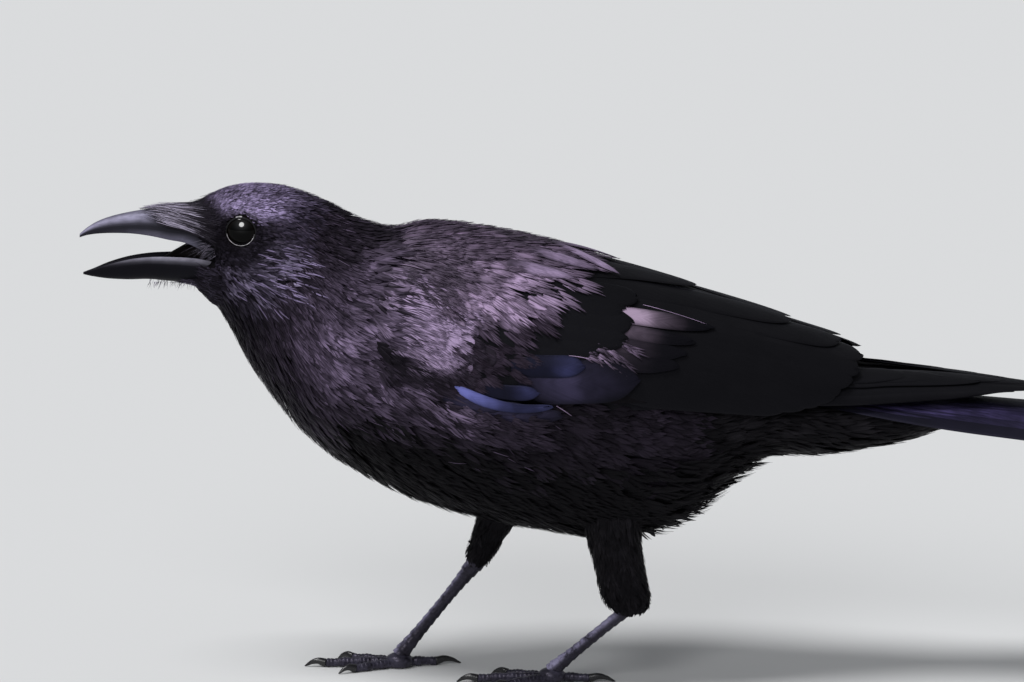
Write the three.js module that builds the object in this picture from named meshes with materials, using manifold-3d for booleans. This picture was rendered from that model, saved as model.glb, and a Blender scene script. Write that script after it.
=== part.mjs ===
// A carrion crow, life size, standing in mid-stride with its bill open.
// The bird faces -X, its left side is at -Y, and +Z is up. Sizes are in millimetres.
// Flesh and plumage are lofted from named ribs. Bill, eyes and claws are separate pieces.

import * as THREE from "three";
import { mergeVertices } from "three/addons/utils/BufferGeometryUtils.js";
import Module from "manifold-3d";

const wasm = await Module();
wasm.setup();

const GAP = 0.3; // clearance between neighbouring pieces
const LEFT = -1;
const RIGHT = 1;

// Ribs of the body, from the face to the tips of the tail coverts. Each rib is an oval
// standing on the line from its belly point to its back point:
// [back x, back z, belly x, belly z, half width, seat of the widest point, back power, belly power]
const RIBS = [
  [-177, 238.0, -177, 196.4, 12.0, 0.5, 2.2, 2.0],
  [-170, 242.6, -174.5, 193.2, 16.8, 0.52, 2.2, 2.0],
  [-160, 246.2, -171, 190, 20.2, 0.53, 2.2, 2.0],
  [-148, 247.6, -167.5, 186.8, 22.6, 0.52, 2.15, 2.0],
  [-134, 246.3, -164.3, 181.8, 24.4, 0.5, 2.1, 2.0],
  [-121, 242.3, -160.8, 175.8, 26.0, 0.5, 2.0, 2.0],
  [-110, 237.2, -157, 168.2, 27.6, 0.49, 2.0, 2.0],
  [-100, 231.9, -152.4, 159.2, 29.8, 0.48, 2.0, 2.0],
  [-91, 228.4, -146, 149.2, 32.6, 0.47, 2.0, 2.0],
  [-82, 226.6, -137, 136.8, 36.2, 0.46, 2.0, 2.0],
  [-70, 227.2, -124.5, 122.6, 41.0, 0.46, 2.0, 2.0],
  [-54, 226.8, -105, 108, 46.2, 0.47, 2.0, 2.0],
  [-33, 223.6, -78, 93.2, 51.0, 0.48, 2.0, 2.0],
  [-8, 217.5, -45, 82.4, 53.6, 0.49, 2.0, 2.0],
  [18, 204.5, -8, 74.8, 53.6, 0.5, 2.0, 2.05],
  [42, 192.5, 26, 71.0, 51.0, 0.5, 2.0, 2.1],
  [62, 181, 50, 77.2, 46.5, 0.5, 2.0, 2.1],
  [80, 169.5, 68, 87, 41.0, 0.5, 2.0, 2.0],
  [96, 161, 84, 102, 35.0, 0.5, 2.0, 2.0],
  [112, 155.4, 103, 112.2, 29.5, 0.5, 2.0, 2.0],
  [130, 151, 126, 112.4, 26.0, 0.52, 2.0, 2.0],
  [150, 147.4, 148, 115, 24.0, 0.56, 2.0, 2.0],
  [172, 143.6, 172, 120.2, 21.0, 0.66, 2.0, 2.0],
  [196, 139.4, 196, 129.4, 14.0, 0.75, 2.0, 2.0],
];
const HEAD_END = 5; // rib at which the head meets the neck
const NECK_END = 9.5; // rib at which the neck meets the trunk
const TRUNK_END = 19; // rib at which the trunk meets the tail coverts
const RIB_SIDES = 22;

// Bill halves: [x, ridge z, cutting edge z, half width]. The ridge is the culmen above, the keel below.
const BILL_TOP = [
  [-177.3, 236.8, 218.4, 9.8],
  [-190, 235.9, 221.3, 8.1],
  [-199, 235.0, 222.9, 6.7],
  [-208, 233.6, 223.7, 5.4],
  [-217, 231.6, 223.7, 4.2],
  [-224.4, 229.0, 223.2, 3.1],
  [-230, 225.7, 222.2, 1.9],
  [-233.8, 222.4, 220.8, 0.7],
];
const BILL_LOW = [
  [-177.3, 198.2, 212.0, 9.4],
  [-190, 199.2, 212.3, 7.7],
  [-200, 200.1, 212.0, 6.4],
  [-210, 199.9, 210.6, 5.1],
  [-219.5, 200.3, 208.0, 3.7],
  [-227, 201.3, 205.1, 2.2],
  [-232.2, 202.4, 203.4, 0.7],
];
const PALATE = 0.22; // hollow of the upper half, as a share of its height
const TROUGH = 0.42; // hollow of the lower half, as a share of its height
const GAPE = { x: -168.5, z: 211.2 }; // corner of the mouth
const TONGUE = { back: -184, tip: -212, wide: 3.0, thick: 1.5 };

const EYE = { x: -156, y: 15.6, z: 227.3, radius: 7 };

// Folded wing, seen as an arch over the body:
// [x, ridge z, lower edge z, half width, first angle, last angle, thickness]
const WING = [
  [-86, 226.4, 165, 45.6, 4, 10, 3],
  [-80, 226.8, 162.5, 47.6, 1, 31, 6],
  [-68, 227.2, 158.5, 50.4, 0, 44, 8],
  [-49, 226, 151.5, 54.0, 0, 55, 9],
  [-29, 223, 147, 56.2, 0, 63, 9],
  [-7, 218.2, 144.6, 57.0, 0, 71, 9],
  [19, 210.2, 144.4, 56.3, 0, 80, 8.5],
  [45, 202, 144.3, 53.4, 0, 86, 8],
  [85, 189, 144.1, 43.8, 0, 87, 6.5],
  [117, 177.8, 143.6, 36.2, 0, 87, 5],
  [137, 170.6, 143.2, 31.6, 0, 87, 4.2],
  [143, 163.0, 143.2, 30.4, 0, 86, 4],
];
const PRIMARIES = [
  [143.3, 160.6, 143.2, 30.0, 0, 84, 4],
  [160, 158.2, 143.3, 26.6, 0, 82, 3.6],
  [187, 155.0, 144.3, 21.2, 0, 80, 3.2],
  [214, 151.4, 146.2, 15.6, 0, 78, 2.6],
  [231, 149.4, 147.0, 11.6, 0, 70, 2.2],
  [239, 148.8, 147.6, 9.4, 0, 40, 1.4],
];
const WING_SPLIT = 6; // row of WING at which the coverts meet the secondaries
const WING_STEPS = 9; // points along each arch
const POCKET = 25; // how far out of the wing the body is cleared for it

// Tail fan: [x, middle z, half width, camber, thickness]
const TAIL = [
  [112.5, 146.2, 22, 4.0, 5.4],
  [140, 143.9, 27, 5.6, 5.2],
  [186, 140, 33.5, 9.6, 4.6],
  [226, 136.6, 37.2, 10.6, 3.8],
  [240, 135.4, 35.4, 9.8, 3.2],
  [247, 134.8, 28, 6.2, 2.6],
  [250, 134.5, 16, 2.0, 2.0],
];
const TAIL_STEPS = 9;
const SLOT = 40; // half width of the slot that takes the tail

// Legs: the ankle and the joint of the toes, for each side.
const LEGS = {
  left: {
    side: LEFT,
    ankle: [41, -22, 46.5],
    foot: [-4, -9, 6],
    hindBearing: 180,
    // [x, y, z, half length, half width] down the feathered shank
    thigh: [
      [24, -24, 98, 17, 13],
      [26, -24, 78, 13.6, 11],
      [29, -23.5, 62, 12.6, 10],
      [31.5, -23, 50, 12.2, 9],
      [33.5, -22.5, 42, 9.6, 7],
      [34.5, -22, 38, 4.5, 3.6],
    ],
  },
  right: {
    side: RIGHT,
    ankle: [-40, 23, 54.5],
    foot: [-79, 22, 6],
    hindBearing: 166,
    thigh: [
      [-18, 22, 98, 16, 12],
      [-25, 22.5, 84, 13.2, 10.4],
      [-30.5, 23, 74.5, 10.8, 9],
      [-35, 23, 66, 8.4, 7.2],
      [-39, 23, 57, 6.2, 5.6],
      [-40.4, 23, 51.6, 4.0, 3.8],
    ],
  },
};
const TARSUS_RADII = [4.3, 3.1, 2.6, 2.6, 2.8, 3.6]; // from the ankle to the toes
const PAD = { long: 7, wide: 6, tall: 4.4, z: 3.6 };
// Toes: bearing from straight ahead towards the outer side, length, radius, claw length.
// The bearing of the hind toe is the leg's own, as it steadies the stride.
const TOES = [
  { name: "hind", reach: 19, radius: 2.5, claw: 14 },
  { name: "inner", bearing: -27, reach: 25, radius: 2.4, claw: 9.5 },
  { name: "middle", bearing: 1, reach: 37, radius: 2.6, claw: 11 },
  { name: "outer", bearing: 29, reach: 27, radius: 2.4, claw: 9 },
];

const vector = (x, y, z) => new THREE.Vector3(x, y, z);
const power = (value, exponent) => Math.sign(value) * Math.abs(value) ** (2 / exponent);
const radians = THREE.MathUtils.degToRad;
const steps = (count, from, to) => Array.from({ length: count }, (_, i) => from + ((to - from) * i) / (count - 1));

// The row at place t of a table, by Catmull-Rom interpolation of each column.
function smooth(rows, t) {
  const last = rows.length - 1;
  const i = Math.min(Math.floor(t), last - 1);
  const f = t - i;
  const row = (k) => rows[Math.max(0, Math.min(last, k))];
  return rows[i].map((_, column) => {
    const [a, b, c, d] = [-1, 0, 1, 2].map((k) => row(i + k)[column]);
    return b + 0.5 * f * (c - a + f * (2 * a - 5 * b + 4 * c - d + f * (3 * (b - c) + d - a)));
  });
}

// A closed three.js geometry as a manifold solid with its faces pointing out.
function solidOf(geometry) {
  geometry.deleteAttribute("normal");
  geometry.deleteAttribute("uv");
  const merged = mergeVertices(geometry, 1e-4);
  const triVerts = new Uint32Array(merged.index.array);
  const vertProperties = new Float32Array(merged.attributes.position.array);
  const solid = new wasm.Manifold(new wasm.Mesh({ numProp: 3, vertProperties, triVerts }));
  if (solid.volume() > 0) {
    return solid;
  }
  return new wasm.Manifold(new wasm.Mesh({ numProp: 3, vertProperties, triVerts: triVerts.reverse() }));
}

// A solid through rings of points, each an even number of them. A ladder of faces closes each end.
function loft(rings) {
  const sides = rings[0].length;
  const end = (rings.length - 1) * sides;
  const faces = [];
  for (let k = 0; k < sides; k += 1) {
    const next = (k + 1) % sides;
    for (let r = 0; r < end; r += sides) {
      faces.push(r + k, r + next, r + sides + k, r + next, r + sides + next, r + sides + k);
    }
  }
  for (let k = 0; k < sides / 2 - 1; k += 1) {
    const far = sides - 1 - k;
    faces.push(k, far, k + 1, k + 1, far, far - 1);
    faces.push(end + k, end + k + 1, end + far, end + k + 1, end + far - 1, end + far);
  }
  const geometry = new THREE.BufferGeometry().setFromPoints(rings.flat()).setIndex(faces);
  return solidOf(geometry);
}

function meshOf(solid, name, material) {
  const { vertProperties, triVerts } = solid.getMesh();
  const geometry = new THREE.BufferGeometry();
  geometry.setAttribute("position", new THREE.BufferAttribute(vertProperties, 3));
  geometry.setIndex(new THREE.BufferAttribute(triVerts, 1));
  const mesh = new THREE.Mesh(geometry, material);
  mesh.name = name;
  return mesh;
}

const material = (color, roughness) => new THREE.MeshStandardMaterial({ color, roughness, metalness: 0 });
const plumage = material(0x1a181f, 0.55);
const flight = material(0x17171f, 0.42);
const horn = material(0x201f27, 0.3);
const scale = material(0x1b1b1f, 0.5);
const eyeball = material(0x120c08, 0.05);
const mouth = material(0x2b2326, 0.5);

// An oval rib of the body at place t, grown outwards by grow.
function rib(t, grow = 0) {
  const [backX, backZ, bellyX, bellyZ, wide, seat, backPower, bellyPower] = smooth(RIBS, t);
  const belly = vector(bellyX, 0, bellyZ);
  const up = vector(backX, 0, backZ).sub(belly);
  const tall = up.length();
  up.normalize();
  const middle = belly.addScaledVector(up, seat * tall);
  return steps(RIB_SIDES + 1, 0, 2 * Math.PI).slice(0, -1).map((angle) => {
    const upper = Math.sin(angle) >= 0;
    const exponent = upper ? backPower : bellyPower;
    const reach = (upper ? 1 - seat : seat) * tall + grow;
    const rise = reach * power(Math.sin(angle), exponent);
    return middle.clone().addScaledVector(up, rise).add(vector(0, (wide + grow) * power(Math.cos(angle), exponent), 0));
  });
}

// A length of the body between two ribs. Its ends stand back by half the clearance.
function bodyLength(from, to, count, grow = 0) {
  const rings = steps(count, from, to).map((t) => rib(t, grow));
  const along = vector(1, 0, -0.3).normalize();
  rings[0].forEach((p) => p.addScaledVector(along, GAP / 2));
  rings.at(-1).forEach((p) => p.addScaledVector(along, -GAP / 2));
  return loft(rings);
}

// A ring of the folded wing: out along the outer arch, back along the inner one.
function wingRing(row, side, grow, outward) {
  const [x, ridge, edge, wide, first, last, thick] = row;
  const arch = (angle, inset) =>
    vector(x, side * (wide - inset) * Math.cos(angle), edge + (ridge - edge - inset) * Math.sin(angle));
  const spread = (1.4 * grow) / (ridge - edge);
  const angles = steps(WING_STEPS, radians(first) - spread, radians(last) + spread);
  const outer = angles.map((angle) => arch(angle, -outward));
  const inner = angles.reverse().map((angle) => arch(angle, Math.min(thick, (ridge - edge) * 0.8) + grow));
  return [...outer, ...inner];
}

function wingLength(rows, places, side, grow = 0, outward = 0) {
  return loft(places.map((t) => wingRing(smooth(rows, t), side, grow, outward)));
}

// One half of the bill: an arch on its cutting edges, hollowed between them.
function billHalf(rows, hollow, count) {
  return loft(
    steps(count, 0, rows.length - 1).map((t) => {
      const [x, ridge, edge, wide] = smooth(rows, t);
      const arch = steps(9, 0, Math.PI).map((a) =>
        vector(x, wide * power(Math.cos(a), 2.1), edge + (ridge - edge) * power(Math.sin(a), 1.9)));
      const inside = steps(5, -0.86, 0.86).map((s) =>
        vector(x, wide * s, edge + (ridge - edge) * hollow * (1 - s * s)));
      return [...arch, ...inside];
    }),
  );
}

function makeTongue() {
  const { back, tip, wide, thick } = TONGUE;
  return loft(
    steps(6, 0, 1).map((t) => {
      const x = back + (tip - back) * t;
      const narrow = Math.sqrt(1 - 0.96 * t * t);
      const z = 208.9 - 2.4 * t * t + (t < 0.5 ? 0.4 : 0) + 0.6 * Math.sin(Math.PI * t);
      return steps(11, 0, 2 * Math.PI).slice(0, -1).map((a) =>
        vector(x, wide * narrow * Math.cos(a), z + thick * (0.4 + 0.6 * narrow) * Math.sin(a)));
    }),
  );
}

// The wedge of air between the bill halves, cut into the face back to the corner of the mouth.
function mouthWedge() {
  const outline = new THREE.Shape();
  outline.moveTo(GAPE.x, GAPE.z);
  outline.lineTo(-180, 219.2);
  outline.lineTo(-180, 211.4);
  outline.closePath();
  const wedge = new THREE.ExtrudeGeometry(outline, { depth: 60, bevelEnabled: false });
  wedge.rotateX(Math.PI / 2).translate(0, 30, 0);
  return solidOf(wedge);
}

function ball(radius, x, y, z) {
  return solidOf(new THREE.SphereGeometry(radius, 16, 10).rotateX(Math.PI / 2).translate(x, y, z));
}

// A ring of the tail fan: a cambered strip, higher in the middle.
function tailRing(row, grow = 0) {
  const [x, z, wide, camber, thick] = row;
  const half = thick / 2 + grow;
  const strip = (s, lift) => vector(x, s * wide, z - camber * s ** 2 + lift);
  const across = steps(TAIL_STEPS, -1, 1);
  return [...across.map((s) => strip(s, half)), ...across.reverse().map((s) => strip(s, -half))];
}

// A tube through centres [x, y, z, half length, half width], with rings parallel to the floor.
function shank(rows, count, grow = 0) {
  return loft(
    steps(count, 0, rows.length - 1).map((t) => {
      const [x, y, z, long, wide] = smooth(rows, t);
      return steps(13, 0, 2 * Math.PI).slice(0, -1).map((a) =>
        vector(x + (long + grow) * Math.cos(a), y + (wide + grow) * Math.sin(a), z));
    }),
  );
}

// A round rod along a curve, whose radius at share t is radius(t).
function rod(curve, radius, count, sides) {
  const frames = curve.computeFrenetFrames(count - 1, false);
  return loft(
    steps(count, 0, 1).map((t, i) =>
      steps(sides + 1, 0, 2 * Math.PI).slice(0, -1).map((a) =>
        curve.getPointAt(t)
          .addScaledVector(frames.normals[i], radius(t) * Math.cos(a))
          .addScaledVector(frames.binormals[i], radius(t) * Math.sin(a)))),
  );
}

// Everything above the floor.
function aboveFloor(solid, floor = 0) {
  return solid.trimByPlane([0, 0, 1], floor);
}

function tarsus(leg, grow = 0) {
  const [ankle, foot] = [vector(...leg.ankle), vector(...leg.foot)];
  const curve = new THREE.CatmullRomCurve3([
    ankle,
    ankle.clone().lerp(foot, 0.5).add(vector(0.8, 0, 0.8)),
    foot,
  ]);
  const radii = TARSUS_RADII.map((r) => [r]);
  const bone = rod(curve, (t) => smooth(radii, t * (radii.length - 1))[0] + grow, 7, 8);
  const pad = new THREE.SphereGeometry(1, 12, 7)
    .scale(PAD.long + grow, PAD.wide + grow, PAD.tall + grow)
    .translate(foot.x, foot.y, PAD.z);
  return aboveFloor(bone.add(solidOf(pad)));
}

const heading = (leg, toe) => {
  const angle = radians(toe.bearing ?? leg.hindBearing);
  return vector(-Math.cos(angle), leg.side * Math.sin(angle), 0);
};

// A toe lies flat on the floor and swells at its pads.
function makeToe(leg, toe, grow = 0) {
  const ahead = heading(leg, toe);
  const start = vector(leg.foot[0], leg.foot[1], 0).addScaledVector(ahead, 2);
  const height = (t) => toe.radius * (0.92 - 0.12 * t) + 0.5 * Math.sin(Math.PI * t);
  const curve = new THREE.CatmullRomCurve3(
    steps(5, 0, 1).map((t) => start.clone().addScaledVector(ahead, t * (toe.reach - 2)).setZ(height(t))),
  );
  const swell = (t) => toe.radius * (1 - 0.22 * t) * (1 + 0.09 * Math.cos(t * toe.reach * 0.7)) + grow;
  return aboveFloor(rod(curve, swell, 7, 8), grow > 0 ? -grow : 0);
}

// A claw arches forward from the toe and down to the floor.
function makeClaw(leg, toe) {
  const ahead = heading(leg, toe);
  const base = vector(leg.foot[0], leg.foot[1], 0).addScaledVector(ahead, toe.reach + 3 * GAP);
  const curve = new THREE.CatmullRomCurve3(
    [[0, 2.1], [0.35, 3.0], [0.7, 2.3], [0.95, 0.45]].map(([t, z]) =>
      base.clone().addScaledVector(ahead, t * toe.claw * 0.86).setZ(z)),
  );
  const radius = (t) => 1.75 * (1 - t) ** 0.8 + 0.27;
  return aboveFloor(rod(curve, radius, 6, 6), 0.05);
}

// The largest of the separate lumps a cut has left.
function largest(solid) {
  return solid.decompose().reduce((best, lump) => (lump.volume() > best.volume() ? lump : best));
}

// ---- the pieces ----

const crow = new THREE.Group();
const add = (solid, name, finish) => crow.add(meshOf(solid, name, finish));

const tops = billHalf(BILL_TOP, PALATE, 14);
const lows = billHalf(BILL_LOW, TROUGH, 12);
add(tops, "bill_upper", horn);
add(lows, "bill_lower", horn);
add(makeTongue().subtract(lows), "tongue", mouth);

let head = bodyLength(0, HEAD_END, 12).subtract(mouthWedge());
for (const side of [LEFT, RIGHT]) {
  head = head.subtract(ball(EYE.radius + GAP, EYE.x, side * EYE.y, EYE.z));
  add(ball(EYE.radius, EYE.x, side * EYE.y, EYE.z), side === LEFT ? "eye_left" : "eye_right", eyeball);
}
add(head, "head", plumage);
add(bodyLength(HEAD_END, NECK_END, 9), "neck", plumage);

let trunk = bodyLength(NECK_END, TRUNK_END, 17);
let coverts = bodyLength(TRUNK_END, RIBS.length - 1, 7);
for (const [side, word] of [[LEFT, "left"], [RIGHT, "right"]]) {
  const front = steps(12, 0, WING_SPLIT - 0.01);
  const rear = steps(7, WING_SPLIT, WING.length - 1);
  add(wingLength(WING, front, side), `wing_coverts_${word}`, plumage);
  add(wingLength(WING, rear, side), `wing_secondaries_${word}`, flight);
  add(wingLength(PRIMARIES, steps(8, 0, PRIMARIES.length - 1), side), `wing_primaries_${word}`, flight);
  const pocket = wingLength(WING, [...front.slice(0, -1), ...rear], side, GAP, POCKET);
  trunk = trunk.subtract(pocket);
  coverts = coverts.subtract(pocket);
}
add(trunk, "trunk", plumage);

const tailRows = steps(11, 0, TAIL.length - 1).map((t) => smooth(TAIL, t));
add(loft(tailRows.map((row) => tailRing(row))), "tail", flight);
const slot = loft(tailRows.map((row) => tailRing([row[0], row[1], SLOT, row[3] * (SLOT / row[2]) ** 2, row[4]], GAP)));
add(largest(coverts.subtract(slot)), "tail_coverts", plumage);

const belly = bodyLength(NECK_END, TRUNK_END, 17, GAP);
for (const [word, leg] of Object.entries(LEGS)) {
  add(shank(leg.thigh, 10).subtract(belly).subtract(tarsus(leg, GAP)), `thigh_${word}`, plumage);
  add(tarsus(leg), `tarsus_${word}`, scale);
  let taken = tarsus(leg, GAP);
  for (const toe of TOES) {
    add(makeToe(leg, toe).subtract(taken), `toe_${toe.name}_${word}`, scale);
    add(makeClaw(leg, toe), `claw_${toe.name}_${word}`, horn);
    taken = taken.add(makeToe(leg, toe, GAP));
  }
}

// The origin is on the floor, at the middle of the model's box.
const box = new THREE.Box3().setFromObject(crow);
const centre = box.getCenter(vector(0, 0, 0));
crow.position.set(-centre.x, -centre.y, -box.min.z);

export default crow;
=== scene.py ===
"""A carrion crow in mid-stride with its bill open, finished as a museum model.

The plumage is solid: thousands of thin closed vanes laid over one skin. Each vane follows the
surface under it, so it needs only a start, an end, a width and a height above that surface.
All shapes are worked out in millimetres, with the bird facing -X, its left side at -Y and +Z up.
"""

import math

import bpy
import numpy as np
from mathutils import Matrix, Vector


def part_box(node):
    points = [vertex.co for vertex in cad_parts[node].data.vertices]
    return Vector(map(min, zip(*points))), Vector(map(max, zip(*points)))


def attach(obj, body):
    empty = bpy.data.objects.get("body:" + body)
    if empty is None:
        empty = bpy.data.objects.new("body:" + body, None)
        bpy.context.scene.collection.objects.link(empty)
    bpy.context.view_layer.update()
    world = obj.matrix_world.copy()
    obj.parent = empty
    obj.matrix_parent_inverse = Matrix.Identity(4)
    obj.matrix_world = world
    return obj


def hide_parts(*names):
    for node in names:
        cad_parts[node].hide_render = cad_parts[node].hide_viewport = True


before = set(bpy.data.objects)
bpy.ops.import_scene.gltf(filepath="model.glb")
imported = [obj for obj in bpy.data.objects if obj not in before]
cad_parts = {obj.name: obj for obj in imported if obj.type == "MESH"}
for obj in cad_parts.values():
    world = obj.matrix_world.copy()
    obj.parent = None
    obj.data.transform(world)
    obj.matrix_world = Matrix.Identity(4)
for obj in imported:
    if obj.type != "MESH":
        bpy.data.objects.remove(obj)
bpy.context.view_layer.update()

MM = 0.001
EYE = np.array([-156.0, -15.6, 227.3])  # centre of the left eyeball, in millimetres
EYE_LOW, EYE_HIGH = (np.array(corner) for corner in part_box("eye_left"))
SHIFT = (EYE_LOW + EYE_HIGH) / 2 - EYE * MM  # from the bird's own origin to the frame's
SMOOTHNESS = 0.66  # share of the surface's own normal in the shading of a vane that lies on it
PATCH = 0.003  # size of a feather's patch in the bake map
TURN = math.tau
LEFT, RIGHT = -1, 1
SIDES = {"left": LEFT, "right": RIGHT}

# Ribs of the body, from the face to the tips of the tail coverts:
# back x, back z, belly x, belly z, half width, seat of the widest point, back power, belly power
RIBS = [
    (-177, 237.8, -177, 196.8, 10.7, 0.5, 2.2, 2.0),
    (-170, 242.4, -174.5, 193.4, 15.4, 0.52, 2.2, 2.0),
    (-160, 246.2, -171, 190, 19.6, 0.53, 2.2, 2.0),
    (-148, 247.6, -167.5, 186.8, 22.6, 0.52, 2.15, 2.0),
    (-134, 246.3, -164.3, 181.8, 24.4, 0.5, 2.1, 2.0),
    (-121, 242.3, -160.8, 175.8, 26.0, 0.5, 2.0, 2.0),
    (-110, 237.2, -157, 168.2, 27.6, 0.49, 2.0, 2.0),
    (-100, 231.9, -152.4, 159.2, 29.8, 0.48, 2.0, 2.0),
    (-91, 228.4, -146, 149.2, 32.6, 0.47, 2.0, 2.0),
    (-82, 226.6, -137, 136.8, 36.2, 0.46, 2.0, 2.0),
    (-70, 227.2, -124.5, 122.6, 41.0, 0.46, 2.0, 2.0),
    (-54, 226.8, -105, 108, 46.2, 0.47, 2.0, 2.0),
    (-33, 223.6, -78, 93.2, 51.0, 0.48, 2.0, 2.0),
    (-8, 217.5, -45, 82.4, 53.6, 0.49, 2.0, 2.0),
    (18, 204.5, -8, 74.8, 53.6, 0.5, 2.0, 2.05),
    (42, 192.5, 26, 71.0, 51.0, 0.5, 2.0, 2.1),
    (62, 181, 50, 77.2, 46.5, 0.5, 2.0, 2.1),
    (80, 169.5, 68, 87, 41.0, 0.5, 2.0, 2.0),
    (96, 161, 84, 102, 35.0, 0.5, 2.0, 2.0),
    (112, 155.4, 103, 112.2, 29.5, 0.5, 2.0, 2.0),
    (130, 151, 126, 112.4, 26.0, 0.52, 2.0, 2.0),
    (150, 147.4, 148, 115, 24.0, 0.56, 2.0, 2.0),
    (172, 143.6, 172, 120.2, 21.0, 0.66, 2.0, 2.0),
    (196, 139.4, 196, 129.4, 14.0, 0.75, 2.0, 2.0),
]
LAST_RIB = len(RIBS) - 1

# Outer arch of the folded wing: x, ridge z, lower edge z, half width
WING = [
    (-92, 225.6, 170, 44.0), (-86, 226.4, 165, 45.6), (-80, 226.8, 162.5, 47.6), (-68, 227.2, 158.5, 50.4),
    (-49, 226, 151.5, 54.0), (-29, 223, 147, 56.2), (-7, 218.2, 144.6, 57.0), (19, 210.2, 144.4, 56.3),
    (45, 202, 144.3, 53.4), (85, 189, 144.1, 43.8), (117, 177.8, 143.6, 36.2), (137, 170.6, 143.2, 31.6),
    (150, 165.6, 143.2, 29.0),
]
# Outer arch of the folded primaries, which lie under the secondaries and run on past them
HAND = [
    (0, 206, 144.2, 54.0), (45, 194, 144.0, 50.2), (85, 181, 143.8, 41.0), (117, 168.6, 143.4, 34.0),
    (143, 160.6, 143.2, 29.6), (160, 158.2, 143.3, 26.6), (187, 155.0, 144.3, 21.2), (214, 151.4, 146.2, 15.6),
    (231, 149.4, 147.0, 11.6), (241, 148.6, 147.6, 9.4),
]

# Hoods of bristles over the base of the bill and under its lower half, from the face forwards:
# x, crest z, edge z, half width
HOOD = [
    (-158, 246.0, 217.6, 20.8), (-162, 244.8, 218.0, 20.0), (-166, 243.0, 219.2, 18.2),
    (-170, 241.0, 220.8, 16.2), (-174, 239.0, 222.6, 13.8), (-178, 237.4, 224.0, 12.0),
    (-184, 236.6, 225.8, 10.6), (-190, 236.2, 226.8, 9.2), (-197, 235.6, 228.8, 7.5), (-204, 234.4, 231.8, 6.0),
    (-211, 233.2, 231.6, 5.0),
]
JAW = [
    (-164, 184, 206, 19.2), (-168, 187.4, 207, 17.2), (-171, 190.2, 208, 15.2), (-174.5, 193.6, 209, 12.9),
    (-178, 197.0, 210, 11.0), (-185, 198.6, 210.6, 9.3), (-193, 199.5, 210.8, 7.9), (-200, 200.0, 210.8, 6.8),
]
# Halves of the bill, from inside the face to the tip: x, crest z, edge z, half width
BILL_TOP = [
    (-168.4, 237.2, 211.5, 11.4), (-172, 237.3, 215.0, 11.2), (-177.3, 236.9, 218.3, 10.4),
    (-183, 236.4, 220.2, 9.5), (-190, 235.9, 221.2, 8.2), (-199, 235.0, 222.8, 6.7), (-208, 233.6, 223.7, 5.4),
    (-217, 231.6, 223.7, 4.2), (-224.4, 229.0, 223.2, 3.1), (-230, 225.7, 222.2, 1.9),
    (-233.8, 222.4, 220.8, 0.6),
]
BILL_LOW = [
    (-168.4, 197.6, 210.4, 11.2), (-177.3, 198.2, 212.0, 9.8), (-190, 199.2, 212.3, 7.8),
    (-200, 200.1, 212.0, 6.4), (-210, 199.9, 210.6, 5.1), (-219.5, 200.3, 208.0, 3.7),
    (-227, 201.3, 205.1, 2.2), (-232.2, 202.4, 203.4, 0.6),
]
PALATE = 0.22  # hollow of the upper half, as a share of its height
TROUGH = 0.42  # hollow of the lower half, as a share of its height
MOUTH_LEVEL = 213.6  # height at which the sides of the face are drawn in to the mouth
MOUTH_PINCH = 0.42  # how far they are drawn in, as a share of the half width

# Tail: x, middle z, half width, camber, thickness
TAIL = [
    (112.5, 146.2, 22, 4.0, 5.4), (140, 143.9, 27, 5.6, 5.2), (186, 140, 33.5, 9.6, 4.6),
    (226, 136.6, 37.2, 10.6, 3.8), (240, 135.4, 37, 10.2, 3.2), (250, 134.5, 36, 9.8, 2.4),
]

# Radii down the tarsus, from the ankle to the foot
TARSUS_RADII = [4.3, 3.1, 2.6, 2.6, 2.8, 3.6]


def toes(hind):
    """The four toes: bearing off straight ahead in degrees, reach, radius and length of claw."""
    rows = [
        ("hind", hind, 19, 2.5, 14), ("inner", -27, 25, 2.4, 9.5), ("middle", 1, 37, 2.6, 11),
        ("outer", 29, 27, 2.4, 9),
    ]
    return [dict(zip(("name", "bearing", "reach", "radius", "claw"), row)) for row in rows]


# Legs: middle of the ankle and of the foot, and the thigh as x, y, z, half length, half width
LEGS = {
    "left": {
        "ankle": (41, -22, 46.5), "foot": (-4, -9, 6), "toes": toes(180),
        "thigh": [
            (24, -24, 98, 17, 13), (26, -24, 78, 13.6, 11), (29, -23.5, 62, 12.6, 10), (31.5, -23, 50, 12.2, 9),
            (33.5, -22.5, 42, 9.6, 7), (34.5, -22, 38, 4.5, 3.6),
        ],
    },
    "right": {
        "ankle": (-40, 23, 54.5), "foot": (-79, 22, 6), "toes": toes(166),
        "thigh": [
            (-18, 22, 98, 16, 12), (-25, 22.5, 84, 13.2, 10.4), (-30.5, 23, 74.5, 10.8, 9),
            (-35, 23, 66, 8.4, 7.2), (-39, 23, 57, 6.2, 5.6), (-40.4, 23, 51.6, 4.0, 3.8),
        ],
    },
}


# ---------------------------------------------------------------- numbers and surfaces

def ramp(x, low, high):
    """0 below low, 1 above high, and a smooth rise between."""
    f = np.clip((x - low) / (high - low), 0, 1)
    return f * f * (3 - 2 * f)


def stations(rows, t):
    """Every column of a table at places t between its rows, by Catmull-Rom interpolation."""
    rows = np.asarray(rows, float)
    t = np.clip(np.asarray(t, float), 0, len(rows) - 1)
    i = np.minimum(np.floor(t).astype(int), len(rows) - 2)
    f = (t - i)[..., None]
    a, b, c, d = (rows[np.clip(i + k, 0, len(rows) - 1)] for k in (-1, 0, 1, 2))
    return b + 0.5 * f * (c - a + f * (2 * a - 5 * b + 4 * c - d + f * (3 * (b - c) + d - a)))


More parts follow.
